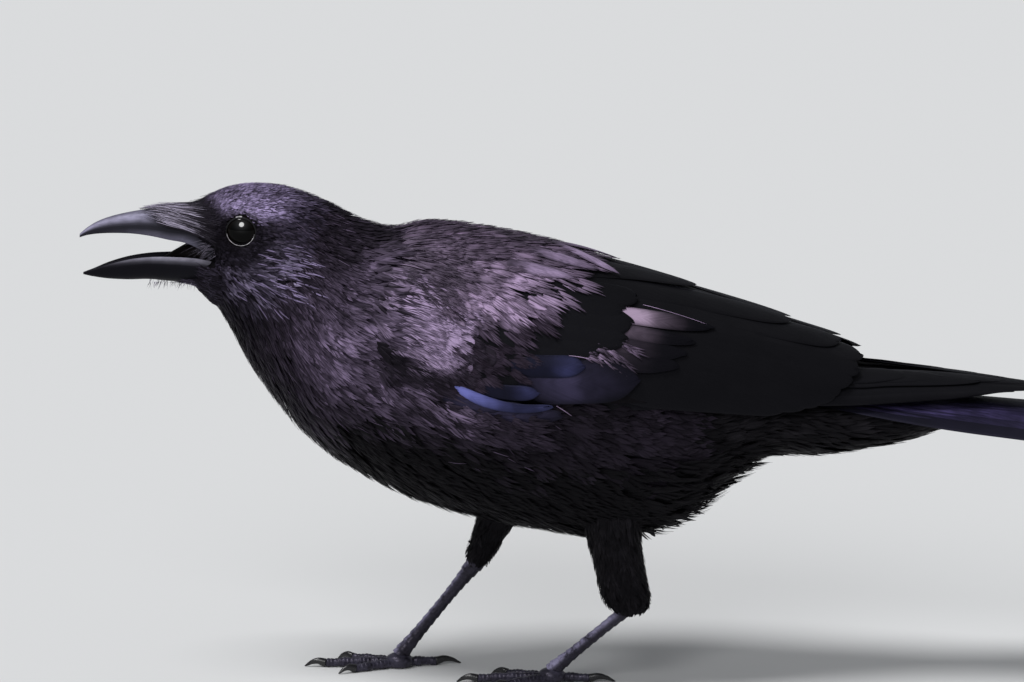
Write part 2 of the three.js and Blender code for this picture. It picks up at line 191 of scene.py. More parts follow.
def bowed(angle, power):
    """Cosine and sine of an angle, raised to 2 / power with their signs kept: a superellipse."""
    c, s = np.cos(angle), np.sin(angle)
    return np.sign(c) * np.abs(c) ** (2 / power), np.sign(s) * np.abs(s) ** (2 / power)


def unit(v):
    """Vectors divided by their own lengths."""
    return v / np.maximum(np.linalg.norm(v, axis=-1, keepdims=True), 1e-9)


def body_shape(t, a):
    """An oval rib round the line from belly to back: share of that line from the sine of a, half width
    from its cosine. At the sides of the mouth the half width is less by a bell curve of the height."""
    back_x, back_z, belly_x, belly_z, wide, seat, over, under = np.moveaxis(stations(RIBS, t), -1, 0)
    up_x, up_z = back_x - belly_x, back_z - belly_z
    power = np.where(np.sin(a) >= 0, over, under)
    across, rise = bowed(a, power)
    share = seat + rise * np.where(rise >= 0, 1 - seat, seat)
    x, z = belly_x + up_x * share, belly_z + up_z * share
    pinch = MOUTH_PINCH * np.exp(-((z - MOUTH_LEVEL) / 5.5) ** 2) * ramp(-x, 163, 171)
    return np.stack([x, wide * across * (1 - pinch), z], -1)


def arch_shape(rows, side):
    """A quarter oval from the lower edge of the wing (a = 0) up to its ridge (a = 90 degrees)."""
    def shape(t, a):
        x, ridge, edge, wide = np.moveaxis(stations(rows, t), -1, 0)
        return np.stack([x, side * wide * np.cos(a), edge + (ridge - edge) * np.sin(a)], -1)
    return shape


SHORTEST = 0.4  # least length per unit of t or a, so that nothing is divided by zero
EVEN_STEPS = np.array([0.7548776662, 0.5698402910])  # steps that fill a square evenly
MARGIN = 0.01  # left free round the bake map


def in_margins(share):
    """A share of 0 to 1, drawn in to leave the margins free."""
    return MARGIN + (1 - 2 * MARGIN) * share


class Surface:
    """Points, outward normals and lengths per unit of t and a, sampled on an even grid. The normals
    are the cross products of the two directions of the grid."""

    def __init__(self, shape, t_range, a_range, steps, flip=False):
        self.low = np.array([t_range[0], a_range[0]], float)
        self.high = np.array([t_range[1], a_range[1]], float)
        self.steps = np.array(steps)
        self.flip = flip
        t = np.linspace(*t_range, steps[0])
        a = np.linspace(*a_range, steps[1])
        points = shape(*np.meshgrid(t, a, indexing="ij"))
        along = np.gradient(points, t, axis=0)
        around = np.gradient(points, a, axis=1)
        normals = unit(np.cross(around, along)) * (-1 if flip else 1)
        sizes = np.stack([np.linalg.norm(along, axis=-1), np.linalg.norm(around, axis=-1)], -1)
        self.grid = np.concatenate([points, normals, np.maximum(sizes, SHORTEST)], -1)
        self.t, self.a = t, a

    def at(self, t, a):
        """Point, normal and the two lengths at places (t, a), by bilinear interpolation."""
        place = (np.stack([t, a], -1) - self.low) / (self.high - self.low) * (self.steps - 1)
        place = np.clip(place, 0, self.steps - 1.0001)
        i, j = np.moveaxis(place.astype(int), -1, 0)
        f, g = np.moveaxis(place - np.floor(place), -1, 0)[..., None]
        found = ((self.grid[i, j] * (1 - f) + self.grid[i + 1, j] * f) * (1 - g)
                 + (self.grid[i, j + 1] * (1 - f) + self.grid[i + 1, j + 1] * f) * g)
        return found[..., :3], unit(found[..., 3:6]), found[..., 6], found[..., 7]

    def scatter(self, density, rng):
        """Places spread evenly: a low-discrepancy sequence put through the running total of
        area times density (one value for each place of the grid), first along t and then along a."""
        weight = self.grid[..., 6] * self.grid[..., 7] * density
        cell = (self.t[1] - self.t[0]) * (self.a[1] - self.a[0])
        count = int(weight.sum() * cell)
        q = (rng.random(2) + np.arange(count)[:, None] * EVEN_STEPS) % 1
        rows = weight.sum(axis=1) + 1e-12
        t = np.interp(q[:, 0], (np.cumsum(rows) - rows / 2) / rows.sum(), self.t)
        i = np.clip(np.rint((t - self.t[0]) / (self.t[1] - self.t[0])).astype(int), 0, len(self.t) - 1)
        running = np.cumsum(weight + 1e-12, axis=1)
        running /= running[:, -1:]
        j = (running[i] < q[:, 1:2]).sum(axis=1)
        spread = rng.random(count) - 0.5
        return t, self.a[np.minimum(j, len(self.a) - 1)] + spread * (self.a[1] - self.a[0])

    def unwrap(self, t, a):
        """The places as a flat map of the surface, between 0 and 1 each way."""
        return in_margins((np.stack([t, a], -1) - self.low) / (self.high - self.low))


# ---------------------------------------------------------------- closed shells as arrays

def tube_faces(count, rows, sides, flip=False, ring=False):
    """Quads of so many closed tubes, each of so many rings and sides, with a ladder of quads over both
    ends, or with the last ring joined to the first."""
    r, c = (g.ravel() for g in np.meshgrid(np.arange(rows - (not ring)), np.arange(sides), indexing="ij"))
    n, m = (c + 1) % sides, (r + 1) % rows
    faces = np.stack([r * sides + c, r * sides + n, m * sides + n, m * sides + c], -1)
    if not ring:
        i = np.arange(sides // 2 - 1)
        near = np.stack([i, sides - 1 - i, sides - 2 - i, i + 1], -1)
        faces = np.vstack([faces, near, near[:, ::-1] + (rows - 1) * sides])
    if flip:
        faces = faces[:, ::-1]
    return (faces[None] + (np.arange(count) * rows * sides)[:, None, None]).reshape(-1, 4)


def shell(rings, flip=False, bake=None, vane=None, tone=0.5, shine=0.5, lie=None, ring=False):
    """Closed tubes from rings of shape (count, rows, sides, 3), with what their material reads."""
    if rings.ndim == 3:
        rings = rings[None]
    count, rows, sides, _ = rings.shape
    total = count * rows * sides
    if bake is None:
        flat = np.meshgrid(np.linspace(0, 1, rows), np.linspace(0, 1, sides), indexing="ij")
        bake = np.broadcast_to(in_margins(np.stack(flat, -1)), (count, rows, sides, 2))
    if vane is None:
        vane = bake
    spread = lambda value: np.broadcast_to(np.asarray(value, float), (count, rows, sides)).reshape(total)
    return {
        "points": rings.reshape(total, 3), "faces": tube_faces(count, rows, sides, flip, ring),
        "lie": np.zeros((total, 3)) if lie is None else lie.reshape(total, 3),
        "bake": np.broadcast_to(bake, (count, rows, sides, 2)).reshape(total, 2),
        "vane": np.broadcast_to(vane, (count, rows, sides, 2)).reshape(total, 2),
        "tone": spread(tone), "shine": spread(shine),
    }


def join(shells):
    """Several shells as one."""
    starts = np.cumsum([0] + [len(s["points"]) for s in shells])
    whole = {key: np.concatenate([s[key] for s in shells]) for key in shells[0] if key != "faces"}
    whole["faces"] = np.concatenate([s["faces"] + start for s, start in zip(shells, starts)])
    return whole


def rods(paths, radii, sides=6, flat=1.0, up=(0, 0, 1), clip=None, ring=False, **looks):
    """Closed tubes along paths of shape (count, rows, 3). Each ring is an oval across the path, flat
    times as high as it is wide, where high is the way nearest to up. clip is the lowest z left."""
    paths = np.asarray(paths, float)
    paths = paths[None] if paths.ndim == 2 else paths
    if ring:
        ahead = unit(np.roll(paths, -1, axis=1) - np.roll(paths, 1, axis=1))
    else:
        ahead = unit(np.gradient(paths, axis=1))
    across = unit(np.cross(ahead, up))
    over = np.cross(across, ahead)
    angle = np.linspace(0, TURN, sides, endpoint=False)[:, None]
    radii = np.asarray(radii, float)
    radii = radii[..., None, None] if radii.ndim < 3 else radii[..., None]
    rings = paths[:, :, None] + radii * (across[:, :, None] * np.cos(angle)
                                         + flat * over[:, :, None] * np.sin(angle))
    if clip is not None:
        rings[..., 2] = np.maximum(rings[..., 2], clip)
    return shell(rings, True, ring=ring, **looks)


def piece(name, parts, material, slot, *nodes):
    """Puts a shell, or a list of them, into a mesh object that stands for the CAD nodes named."""
    parts = join(parts) if isinstance(parts, list) else parts
    faces = parts["faces"].astype(np.int32)
    mesh = bpy.data.meshes.new(name)
    mesh.vertices.add(len(parts["points"]))
    mesh.vertices.foreach_set("co", (parts["points"] * MM + SHIFT).astype(np.float32).ravel())
    mesh.loops.add(faces.size)
    mesh.loops.foreach_set("vertex_index", faces.ravel())
    mesh.polygons.add(len(faces))
    mesh.polygons.foreach_set("loop_start", np.arange(0, faces.size, 4, dtype=np.int32))
    mesh.update(calc_edges=True)
    for layer, key in (("OFBake", "bake"), ("Vane", "vane")):
        uv = mesh.uv_layers.new(name=layer)
        uv.data.foreach_set("uv", parts[key][faces.ravel()].astype(np.float32).ravel())
    for key in ("tone", "shine"):
        mesh.attributes.new(key, "FLOAT", "POINT").data.foreach_set("value", parts[key].astype(np.float32))
    mesh.polygons.foreach_set("use_smooth", np.ones(len(faces), bool))
    mesh.materials.append(material)
    if parts["lie"].any():
        own = np.empty(parts["points"].size, np.float32)
        mesh.vertices.foreach_get("normal", own)
        mesh.normals_split_custom_set_from_vertices(unit(own.reshape(-1, 3) * (1 - SMOOTHNESS) + parts["lie"]))
    obj = bpy.data.objects.new(name, mesh)
    bpy.context.scene.collection.objects.link(obj)
    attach(obj, "root")
    if nodes:
        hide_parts(*nodes)
    return obj


# ---------------------------------------------------------------- vanes

def lance_tip(s):
    """Width along a lock of barbs: widest a third of the way down, then a long taper to a point."""
    return np.clip((0.5 + 1.5 * s) * (1 - s) ** 0.75 * 1.25, 0.03, 1)


def rounded(s, last):
    """The last share of a feather, rounded off by a superellipse of power 2.6."""
    return np.sqrt(np.clip(1 - (np.clip(s - (1 - last), 0, 1) / last) ** 2.6, 0.006, 1))


def flight_tip(s):
    """Width along a flight feather: nearly even, with a rounded end."""
    return (0.72 + 0.28 * ramp(s, 0, 0.35)) * rounded(s, 0.2)


def covert_tip(s):
    """Width along a covert: broad, with a blunt round end."""
    return (0.6 + 0.4 * ramp(s, 0, 0.3)) * rounded(s, 0.34)


def leaf_tip(s):
    """Width along a feather seen whole: rounded at both ends, and narrower towards its tip."""
    return (1.1 - 0.45 * s) * flight_tip(s) * np.sqrt(np.clip(1 - (1 - np.clip(s / 0.16, 0, 1)) ** 2, 0.01, 1))


def hair_tip(s):
    """Width along a bristle: an even taper."""
    return 1 - 0.86 * s


def lens(sides):
    """Places across a vane, from edge to edge over the top and back underneath, and which of them are
    underneath."""
    top = np.linspace(-1, 1, sides // 2 + 1)
    return np.concatenate([top, top[-2:0:-1]]), np.arange(sides) > sides // 2


CROWDING = 1.45  # power by which the rings of a vane crowd towards its tip
SHAFT_WIDTH = 0.1  # half width of the ridge of the shaft, as a share of the vane's


def vanes(surface, start, end, width, outline, rng, rows=6, sides=6, root=-2.0, tip=0.0, rise=1.0,
          camber=0.0, thick=0.25, bend=0.0, ragged=0.0, shaft=0.0, shine=0.5, tone=None, seat=None, strip=None,
          glow=None):
    """Closed vanes along a surface. The middle line runs straight from start to end in (t, a), bowed
    sideways by bend times the square of the share along it. Width follows outline, height goes from root
    to tip as that share to the power rise, and each cross-section is a thin lens, arched by camber and
    ridged by shaft. ragged pulls the ends of the barbs back by a random share of the length. The bake map
    has a small patch at seat, or strip number first onwards out of so many (first, total). glow scales
    the shine by the share along the vane and the place across it."""
    start, end = np.asarray(start, float), np.asarray(end, float)
    count = len(start)
    each = lambda value: np.broadcast_to(np.asarray(value, float), (count,))[:, None, None]
    s = 1 - (1 - np.linspace(0, 1, rows)) ** CROWDING
    w, under = lens(sides)
    line = start[:, None] + (end - start)[:, None] * s[:, None]
    _, _, along, around = surface.at(line[..., 0], line[..., 1])
    run = (end - start) * np.stack([along.mean(1), around.mean(1)], -1)
    length = np.linalg.norm(run, axis=1)
    ahead = run / np.maximum(length, 1e-6)[:, None]
    share = s[None, :, None]
    across = each(width) / 2 * outline(s)[None, :, None] * w + each(bend) * each(length) * share ** 2
    back = 0 * across
    if ragged:
        torn = rng.random((count, sides // 2 + 1))
        torn = np.concatenate([torn, torn[:, -2:0:-1]], 1)[:, None]
        back = -ragged * each(length) * torn * share ** 3
    shift_t = back * ahead[:, 0, None, None] - across * ahead[:, 1, None, None]
    shift_a = back * ahead[:, 1, None, None] + across * ahead[:, 0, None, None]
    t = line[..., 0, None] + shift_t / along[..., None]
    a = line[..., 1, None] + shift_a / around[..., None]
    points, normals, _, _ = surface.at(t, a)
    body = (1 - w ** 2) * outline(s)[:, None]
    height = each(root) + (each(tip) - each(root)) * share ** rise + each(camber) * body
    height = height + shaft * np.exp(-(w / SHAFT_WIDTH) ** 2) * (1 - 0.8 * share)
    thin = (0.35 + 0.65 * (1 - w ** 2)) * (1 - 0.6 * share)  # towards the edges, and towards the tip
    height = height - np.where(under, thick, 0) * thin
    if strip is None:
        seat = start if seat is None else seat
        middle = surface.unwrap(seat[:, 0], seat[:, 1])[:, None, None]
        bake = middle + np.stack(np.broadcast_arrays(share - 0.5, w * 0.5), -1) * PATCH
    else:
        first, total = strip
        column = (first + np.arange(count)[:, None, None] + 0.5 + 0.4 * w) / total
        bake = np.stack(np.broadcast_arrays(column, in_margins(share)), -1)
    vane = np.stack(np.broadcast_arrays(across, share * each(length)), -1)
    tone = each(rng.random(count) if tone is None else tone) + 0 * across
    facing = normals * np.where(under, -1, 1)[:, None] * SMOOTHNESS
    lit = (each(shine) + 0 * across) * (glow(share, w) if glow else 1)
    return shell(points + normals * height[..., None], surface.flip, bake, vane, tone, lit, facing)


def fans(surface, t, a, length, width, turn, rng, locks=7, rows=4, sides=4, root=-4.0, tip=0.0, crown=0.4,
         thick=0.2, fray=0.25, shine=0.5, drift=0.0, glow=None, outline=lance_tip, camber=0.12, mix=0.3,
         least=0.0):
    """Feathers made of locks of barbs, or of a single vane. Feathers start at (t, a) and point along t,
    turned towards +a. Each lock leaves the shaft near the root, sweeps out to its own share w of the width
    and ends at sqrt(1 - (0.72 w)^2) of the length, less a random share of fray. Heights fall by crown times
    w^2 to the sides, and drift bends the locks at random. mix is each lock's own share in its tone, and
    least is the tone of the darkest feather."""
    count = len(t)
    even = np.linspace(-1, 1, locks) if locks > 1 else np.zeros(1)
    w = even + rng.normal(0, 0.22 / locks, (count, locks))
    begin = 0.3 * (1 - np.abs(even)) * rng.random((count, locks))
    reach = np.sqrt(1 - (0.72 * np.clip(w, -1.2, 1.2)) ** 2) - fray * rng.random((count, locks)) ** 2
    _, _, along, around = surface.at(t, a)
    ahead = np.stack([np.cos(turn) / along, np.sin(turn) / around], -1)[:, None] * length[:, None, None]
    aside = np.stack([-np.sin(turn) / along, np.cos(turn) / around], -1)[:, None] * (width / 2)[:, None, None]
    seat = np.stack([t, a], -1)[:, None]
    start = seat + ahead * begin[..., None] + aside * (0.3 * w)[..., None]
    end = seat + ahead * reach[..., None] + aside * w[..., None]
    overlap = 2.1 if locks > 1 else 1  # width of a lock as a share of its part of the feather
    wide = width[:, None] / locks * overlap * (0.8 + 0.4 * rng.random((count, locks)))
    across = lambda value: np.broadcast_to(np.asarray(value, float).reshape(-1, 1), (count, locks))
    low, high = across(root), across(tip) - crown * w ** 2 + 0.1 * rng.normal(0, 1, (count, locks))
    tone = least + (1 - least) * ((1 - mix) * rng.random((count, 1)) + mix * rng.random((count, locks)))
    curve = -0.07 * w * across(width / length) * 2 + drift * rng.normal(0, 1, (count, locks))
    flat = lambda value: np.asarray(value).reshape(count * locks, *np.shape(value)[2:])
    return vanes(surface, flat(start), flat(end), flat(wide), outline, rng, rows=rows, sides=sides,
                 root=flat(low + (high - low) * begin), tip=flat(high), rise=0.8, camber=camber, thick=thick,
                 bend=flat(curve), shine=flat(across(shine)), tone=flat(tone),
                 seat=flat(np.broadcast_to(seat, (count, locks, 2))), glow=glow)


FILL = 0.8  # share of its length times its width that a feather covers


class Places:
    """Places on a surface, by t and a: the points there, their x and z, and how far the surface looks up."""

    def __init__(self, t, a, point, normal):
        self.t, self.a, self.point = t, a, point
        self.x, self.z, self.up = point[..., 0], point[..., 2], normal[..., 2]


def coat(surface, seed, cover, length, slim, where=1.0, turn=0.0, wander=0.12, depth=4.0, lift=0.0, shine=0.5,
         **shape):
    """Feathers spread over a surface so that cover of them lie over each point: so many for each area of
    the square of the length times slim. length, slim (the width as a share of the length), where, turn,
    depth, lift and shine are numbers, or rules that give a number for each of the places."""
    rng = np.random.default_rng(seed)
    call = lambda value, at: (value(at) if callable(value) else value) + 0 * at.t
    grid = Places(*np.meshgrid(surface.t, surface.a, indexing="ij"), surface.grid[..., :3], surface.grid[..., 3:6])
    t, a = surface.scatter(call(where, grid) * cover / (call(length, grid) ** 2 * call(slim, grid) * FILL), rng)
    at = Places(t, a, *surface.at(t, a)[:2])
    size = call(length, at) * (0.82 + 0.36 * rng.random(len(t)))
    wide = size * call(slim, at) * (0.85 + 0.3 * rng.random(len(t)))
    heading = call(turn, at) + rng.normal(0, wander, len(t))
    sunk = call(depth, at)
    raised = call(lift, at) + 0.06 * sunk * rng.normal(0, 1, len(t))
    return fans(surface, t, a, size, wide, heading, rng, root=-0.95 * sunk, tip=raised, shine=call(shine, at),
                **shape)


# ---------------------------------------------------------------- materials

def new_material(name):
    """A material with one principled shader, its node tree and that shader."""
    material = bpy.data.materials.new(name)
    material.use_nodes = True
    tree = material.node_tree
    tree.nodes.clear()
    out = tree.nodes.new("ShaderNodeOutputMaterial")
    shader = tree.nodes.new("ShaderNodeBsdfPrincipled")
    tree.links.new(shader.outputs[0], out.inputs[0])
    return material, tree, shader


def feed(tree, made, inputs):
    """Links a node's inputs to sockets, or sets them to plain values."""
    for key, value in inputs.items():
        socket = made.inputs[key]
        if isinstance(value, bpy.types.NodeSocket):
            tree.links.new(value, socket)
        else:
            socket.default_value = value


def node(tree, kind, inputs=None, **settings):
    """A node with its settings and its inputs."""
    made = tree.nodes.new("ShaderNode" + kind)
    for key, value in settings.items():
        setattr(made, key, value)
    feed(tree, made, inputs or {})
    return made


def math_node(tree, operation, *values, clamp=False):
    """The outcome of one step of arithmetic on sockets and plain numbers."""
    return node(tree, "Math", dict(enumerate(values)), operation=operation, use_clamp=clamp).outputs[0]


def times(tree, a, b, clamp=False):
    """a times b, held between 0 and 1 if clamped."""
    return math_node(tree, "MULTIPLY", a, b, clamp=clamp)


def plus(tree, a, b):
    """a plus b."""
    return math_node(tree, "ADD", a, b)


def remap(tree, value, low, high, to_low=0.0, to_high=1.0):
    """A value moved in proportion from one range to another, and held inside it."""
    return node(tree, "MapRange", {0: value, 1: low, 2: high, 3: to_low, 4: to_high}).outputs[0]


def noise(tree, place, scale, detail, roughness=0.5):
    """Soft noise between 0 and 1 at a place."""
    inputs = {"Vector": place, "Scale": scale, "Detail": detail, "Roughness": roughness}
    return node(tree, "TexNoise", inputs).outputs[0]


def coloured(tree, share, dark, bright):
    """The mix of two colours by a share. The bright one may come from a socket."""
    bright = (*bright, 1) if isinstance(bright, tuple) else bright
    return node(tree, "Mix", {0: share, 6: (*dark, 1), 7: bright}, data_type="RGBA").outputs[2]


def relief(tree, height, strength, depth):
    """The normal of a surface with small heights in it, depth metres deep."""
    return node(tree, "Bump", {"Height": height, "Strength": strength, "Distance": depth}).outputs[0]


def attribute(tree, name):
    """One of the numbers that each vertex carries."""
    return node(tree, "Attribute", attribute_name=name).outputs["Fac"]


def own_place(tree):
    """The place on the object itself."""
    return node(tree, "TexCoord").outputs["Object"]


def barb_group():
    """Barbs of a vane, or hairs of a lock: fine ridges at a slant to the shaft, in bundles of uneven
    height, and a slow drift of tone over the bird. Both are noise at (along less slant times the distance
    from the shaft, that distance, tone), from the Vane map in millimetres across and along."""
    tree = bpy.data.node_groups.new("barbs", "ShaderNodeTree")
    for name, value in (("Slant", 1.6), ("Across", 0.5), ("Along", 3.0)):
        tree.interface.new_socket(name, in_out="INPUT", socket_type="NodeSocketFloat").default_value = value
    for name in ("Ridges", "Bundles", "Drift"):
        tree.interface.new_socket(name, in_out="OUTPUT", socket_type="NodeSocketFloat")
    given, out = tree.nodes.new("NodeGroupInput").outputs, tree.nodes.new("NodeGroupOutput")
    split = node(tree, "SeparateXYZ", {0: node(tree, "UVMap", uv_map="Vane").outputs[0]}).outputs
    off = math_node(tree, "ABSOLUTE", split[0])
    slanted = math_node(tree, "SUBTRACT", split[1], times(tree, off, given["Slant"]))
    seed = times(tree, attribute(tree, "tone"), 97.0)
    side = times(tree, math_node(tree, "SIGN", split[0]), 3.7)
    across = plus(tree, times(tree, off, given["Across"]), side)
    place = node(tree, "CombineXYZ", {0: times(tree, slanted, given["Along"]), 1: across, 2: seed}).outputs[0]
    feed(tree, out, {"Ridges": noise(tree, place, 1.0, 2.0, 0.6), "Bundles": noise(tree, place, 0.24, 2.0, 0.55),
                     "Drift": noise(tree, own_place(tree), 75.0, 2.0)})
    return tree


BARBS = barb_group()
VIOLET = (0.86, 0.72, 1.0)
SOOT = (0.0035, 0.003, 0.004)


def feather_material(name, dark, bright, roughness, gloss, sheen, tint=VIOLET, sheen_tint=(0.6, 0.5, 0.75),
                     slant=0.0, across=0.16, along=2.6, bump=0.3, contrast=1.0, grain=0.75):
    """Black barbs of uneven depth with a coloured gloss. The bright colour is painted sheen: its share is the
    tone to the power contrast, times the barbs, times the drift, times 2.4 times the shine: tone picks the
    paler feathers and shine says where on the bird the sheen is painted. grain is the part the barbs have in it."""
    material, tree, shader = new_material(name)
    barbs = node(tree, "Group", node_tree=BARBS)
    feed(tree, barbs, {"Slant": slant, "Across": across, "Along": along})
    ridges, bundles, drift = barbs.outputs
    shine, tone = attribute(tree, "shine"), attribute(tree, "tone")
    streak = remap(tree, ridges, 0.38, 0.66)
    bundle = remap(tree, bundles, 0.36, 0.64)
    textured = plus(tree, times(tree, streak, 0.6 * grain), times(tree, bundle, 0.4 * grain))
    toned = times(tree, plus(tree, 1 - grain, textured), math_node(tree, "POWER", tone, contrast))
    lifted = times(tree, toned, remap(tree, drift, 0.35, 0.65, 0.45, 1.0))
    share = times(tree, lifted, times(tree, shine, 2.4), clamp=True)
    rough = remap(tree, tone, 0, 1, roughness + 0.06, roughness - 0.06)
    feed(tree, shader, {
        "Base Color": coloured(tree, share, dark, bright),
        "Roughness": plus(tree, remap(tree, bundle, 0, 1, 0.05, -0.05), rough),
        "Normal": relief(tree, plus(tree, ridges, times(tree, bundles, 0.8)), bump, 0.0004),
        "Specular IOR Level": gloss, "Specular Tint": (*tint, 1),
        "Sheen Weight": sheen, "Sheen Roughness": 0.4, "Sheen Tint": (*sheen_tint, 1),
    })
    return material


def speckled_material(name, dark, bright, roughness, scale, stretch=(1, 1, 1), bump=0.2, depth=0.0003,
                      contrast=0.2, **sockets):
    """A hard or leathery surface. Half of fine and half of broad noise, times twice the tone, mixes the two
    colours; the same noise sets the polish, and the fine one the relief."""
    material, tree, shader = new_material(name)
    where = own_place(tree)
    fine = noise(tree, node(tree, "Mapping", {"Vector": where, "Scale": stretch}).outputs[0], scale, 4.0, 0.6)
    mixed = plus(tree, times(tree, fine, 0.5), times(tree, noise(tree, where, scale * 0.2, 2.0), 0.5))
    share = remap(tree, mixed, 0.5 - contrast, 0.5 + contrast)
    share = times(tree, share, times(tree, attribute(tree, "tone"), 2.0), clamp=True)
    feed(tree, shader, {
        "Base Color": coloured(tree, share, dark, bright),
        "Roughness": remap(tree, mixed, 0.3, 0.7, roughness + 0.07, roughness - 0.07),
        "Normal": relief(tree, fine, bump, depth),
        **{key.replace("_", " "): value for key, value in sockets.items()},
    })
    return material


LOCKS = dict(across=2.4, along=0.12)  # barbs that hang loose in locks
HACKLES = dict(across=3.0, along=0.2)  # finer ones, on the head
COVERTS = dict(slant=2.4, bump=0.15)  # barbs hooked together into a smooth vane
QUILLS = dict(slant=2.2, sheen_tint=(0.45, 0.45, 0.8), bump=0.18, contrast=2.0)  # the same, on the long feathers

# The bright colour of each feather material below is painted sheen, where the black plumage catches the light.
GLOSSY = feather_material("glossy_plumage", (0.004, 0.0033, 0.005), (0.4, 0.29, 0.46), roughness=0.42, gloss=0.25,
                          sheen=0.03, grain=0.4, **LOCKS)
SCALE = feather_material("scaly_plumage", (0.0035, 0.003, 0.0042), (0.4, 0.3, 0.48), roughness=0.46, gloss=0.14,
                         sheen=0.02, slant=0.3, across=2.2, along=0.3, grain=0.6)
PLUMAGE = feather_material("plumage", SOOT, (0.26, 0.195, 0.32), roughness=0.5, gloss=0.12, sheen=0.02,
                           contrast=1.7, **LOCKS)
SHADOW = feather_material("shaded_plumage", (0.003, 0.0026, 0.0034), (0.3, 0.22, 0.35), roughness=0.6, gloss=0.03,
                          sheen=0.0, bump=0.25, contrast=1.3, **LOCKS)
# plumage that is duller and darkened as painted shade, for the belly, vent and thighs, which face down
DULL_SHADED = feather_material("dull_shaded_plumage", (0.0025, 0.0023, 0.0027), (0.02, 0.018, 0.022), roughness=0.6, gloss=0.08,
                        sheen=0.01, tint=(0.9, 0.85, 1.0), contrast=2.0, **LOCKS)
CROWN = feather_material("crown_plumage", SOOT, (0.46, 0.37, 0.64), roughness=0.45, gloss=0.14, sheen=0.02,
                         bump=0.25, **HACKLES)
HEAD_COAT = feather_material("head_plumage", SOOT, (0.5, 0.42, 0.66), roughness=0.5, gloss=0.05, sheen=0.0,
                             bump=0.25, contrast=1.9, **HACKLES)
BRISTLE = feather_material("bristles", SOOT, (0.42, 0.38, 0.5), roughness=0.45, gloss=0.15, sheen=0.01, across=1.0,
                           along=0.2, bump=0.1, contrast=1.5, grain=0.3)
FLIGHT = feather_material("flight_vanes", (0.003, 0.003, 0.0035), (0.013, 0.0123, 0.0145), roughness=0.48,
                          gloss=0.09, sheen=0.02, tint=(0.8, 0.78, 1.0), **QUILLS)
COVERT = feather_material("covert_vanes", (0.003, 0.003, 0.004), (0.36, 0.27, 0.38), roughness=0.42, gloss=0.09,
                          sheen=0.01, tint=(0.78, 0.72, 1.0), contrast=1.3, grain=0.4, **COVERTS)
# the bright colours of the indigo and blue coverts are painted blue sheen
INDIGO_SHEEN = feather_material("indigo_sheen_coverts", (0.003, 0.003, 0.004), (0.2, 0.17, 0.36), roughness=0.42, gloss=0.07,
                          sheen=0.01, tint=(0.7, 0.7, 1.0), grain=0.35, **COVERTS)
BLUE_SHEEN = feather_material("blue_sheen_coverts", (0.004, 0.004, 0.008), (0.15, 0.16, 0.45), roughness=0.38, gloss=0.13,
                        sheen=0.02, tint=(0.6, 0.6, 1.0), sheen_tint=(0.35, 0.4, 0.9), slant=2.2, bump=0.12,
                        grain=0.35)
TAIL_VANE = feather_material("tail_vanes", (0.0035, 0.0035, 0.006), (0.085, 0.066, 0.19), roughness=0.42,
                             gloss=0.14, sheen=0.04, tint=(0.72, 0.7, 1.0), **QUILLS)

SKIN = speckled_material("skin", SOOT, (0.008, 0.007, 0.009), roughness=0.8, scale=400, Specular_IOR_Level=0.05)
# Horn, whose lines of growth run along the bill
GROWN = dict(stretch=(0.12, 1, 1), bump=0.12, depth=0.0002, contrast=0.5, Specular_Tint=(0.8, 0.78, 1.0, 1))
# the bright colours of the horn are painted highlights on the bill's ridge and rims
HORN = speckled_material("horn", (0.003, 0.0028, 0.004), (0.34, 0.32, 0.45), roughness=0.4, scale=900,
                         Specular_IOR_Level=0.24, **GROWN)
HORN_BELOW = speckled_material("horn_below", (0.003, 0.0028, 0.004), (0.42, 0.4, 0.5), roughness=0.45, scale=900,
                               Specular_IOR_Level=0.11, **GROWN)
MOUTH = speckled_material("mouth", (0.0025, 0.002, 0.0022), (0.006, 0.0045, 0.005), roughness=0.6, scale=500,
                          Specular_IOR_Level=0.03)
# the bright colour of the scutes is a painted highlight down the front of the tarsus
SCUTE = speckled_material("scutes", (0.0035, 0.0032, 0.005), (0.3, 0.28, 0.42), roughness=0.3, scale=700, bump=0.3,
                          contrast=0.15, Specular_Tint=(0.85, 0.78, 1.0, 1), Specular_IOR_Level=0.3)
CLAW = speckled_material("claw_horn", (0.006, 0.006, 0.007), (0.02, 0.019, 0.022), roughness=0.25, scale=1200,
                         bump=0.1)
# the bright colour of the lids is painted glints on their edges
LID = speckled_material("lid", (0.004, 0.004, 0.005), (0.75, 0.72, 0.76), roughness=0.35, scale=1500, contrast=0.5,
                        Specular_IOR_Level=0.15)


def eye_material():
    """A black pupil in a very dark brown iris. The tone attribute is the share of the way out from
    the pupil's middle, and shine the weight of a clear coat, laid as a spot where the window's glint falls."""
    material, tree, shader = new_material("eye")
    fleck = noise(tree, own_place(tree), 1800.0, 3.0)
    edge = plus(tree, attribute(tree, "tone"), times(tree, fleck, 0.04))
    iris = coloured(tree, fleck, (0.0012, 0.0009, 0.0007), (0.003, 0.002, 0.0015))
    feed(tree, shader, {
        "Base Color": coloured(tree, remap(tree, edge, 0.5, 0.55), (0.001, 0.001, 0.001), iris),
        "Roughness": remap(tree, fleck, 0, 1, 0.03, 0.05),
        "Coat Weight": attribute(tree, "shine"), "Coat Roughness": 0.03, "Coat IOR": 2.0,
        "Specular IOR Level": 0.07,
    })
    return material


EYEBALL = eye_material()


# ---------------------------------------------------------------- surfaces of the bird

QUARTER = math.pi / 2
BODY = Surface(body_shape, (0, LAST_RIB), (-math.pi - 0.5, math.pi + 0.5), (288, 260))


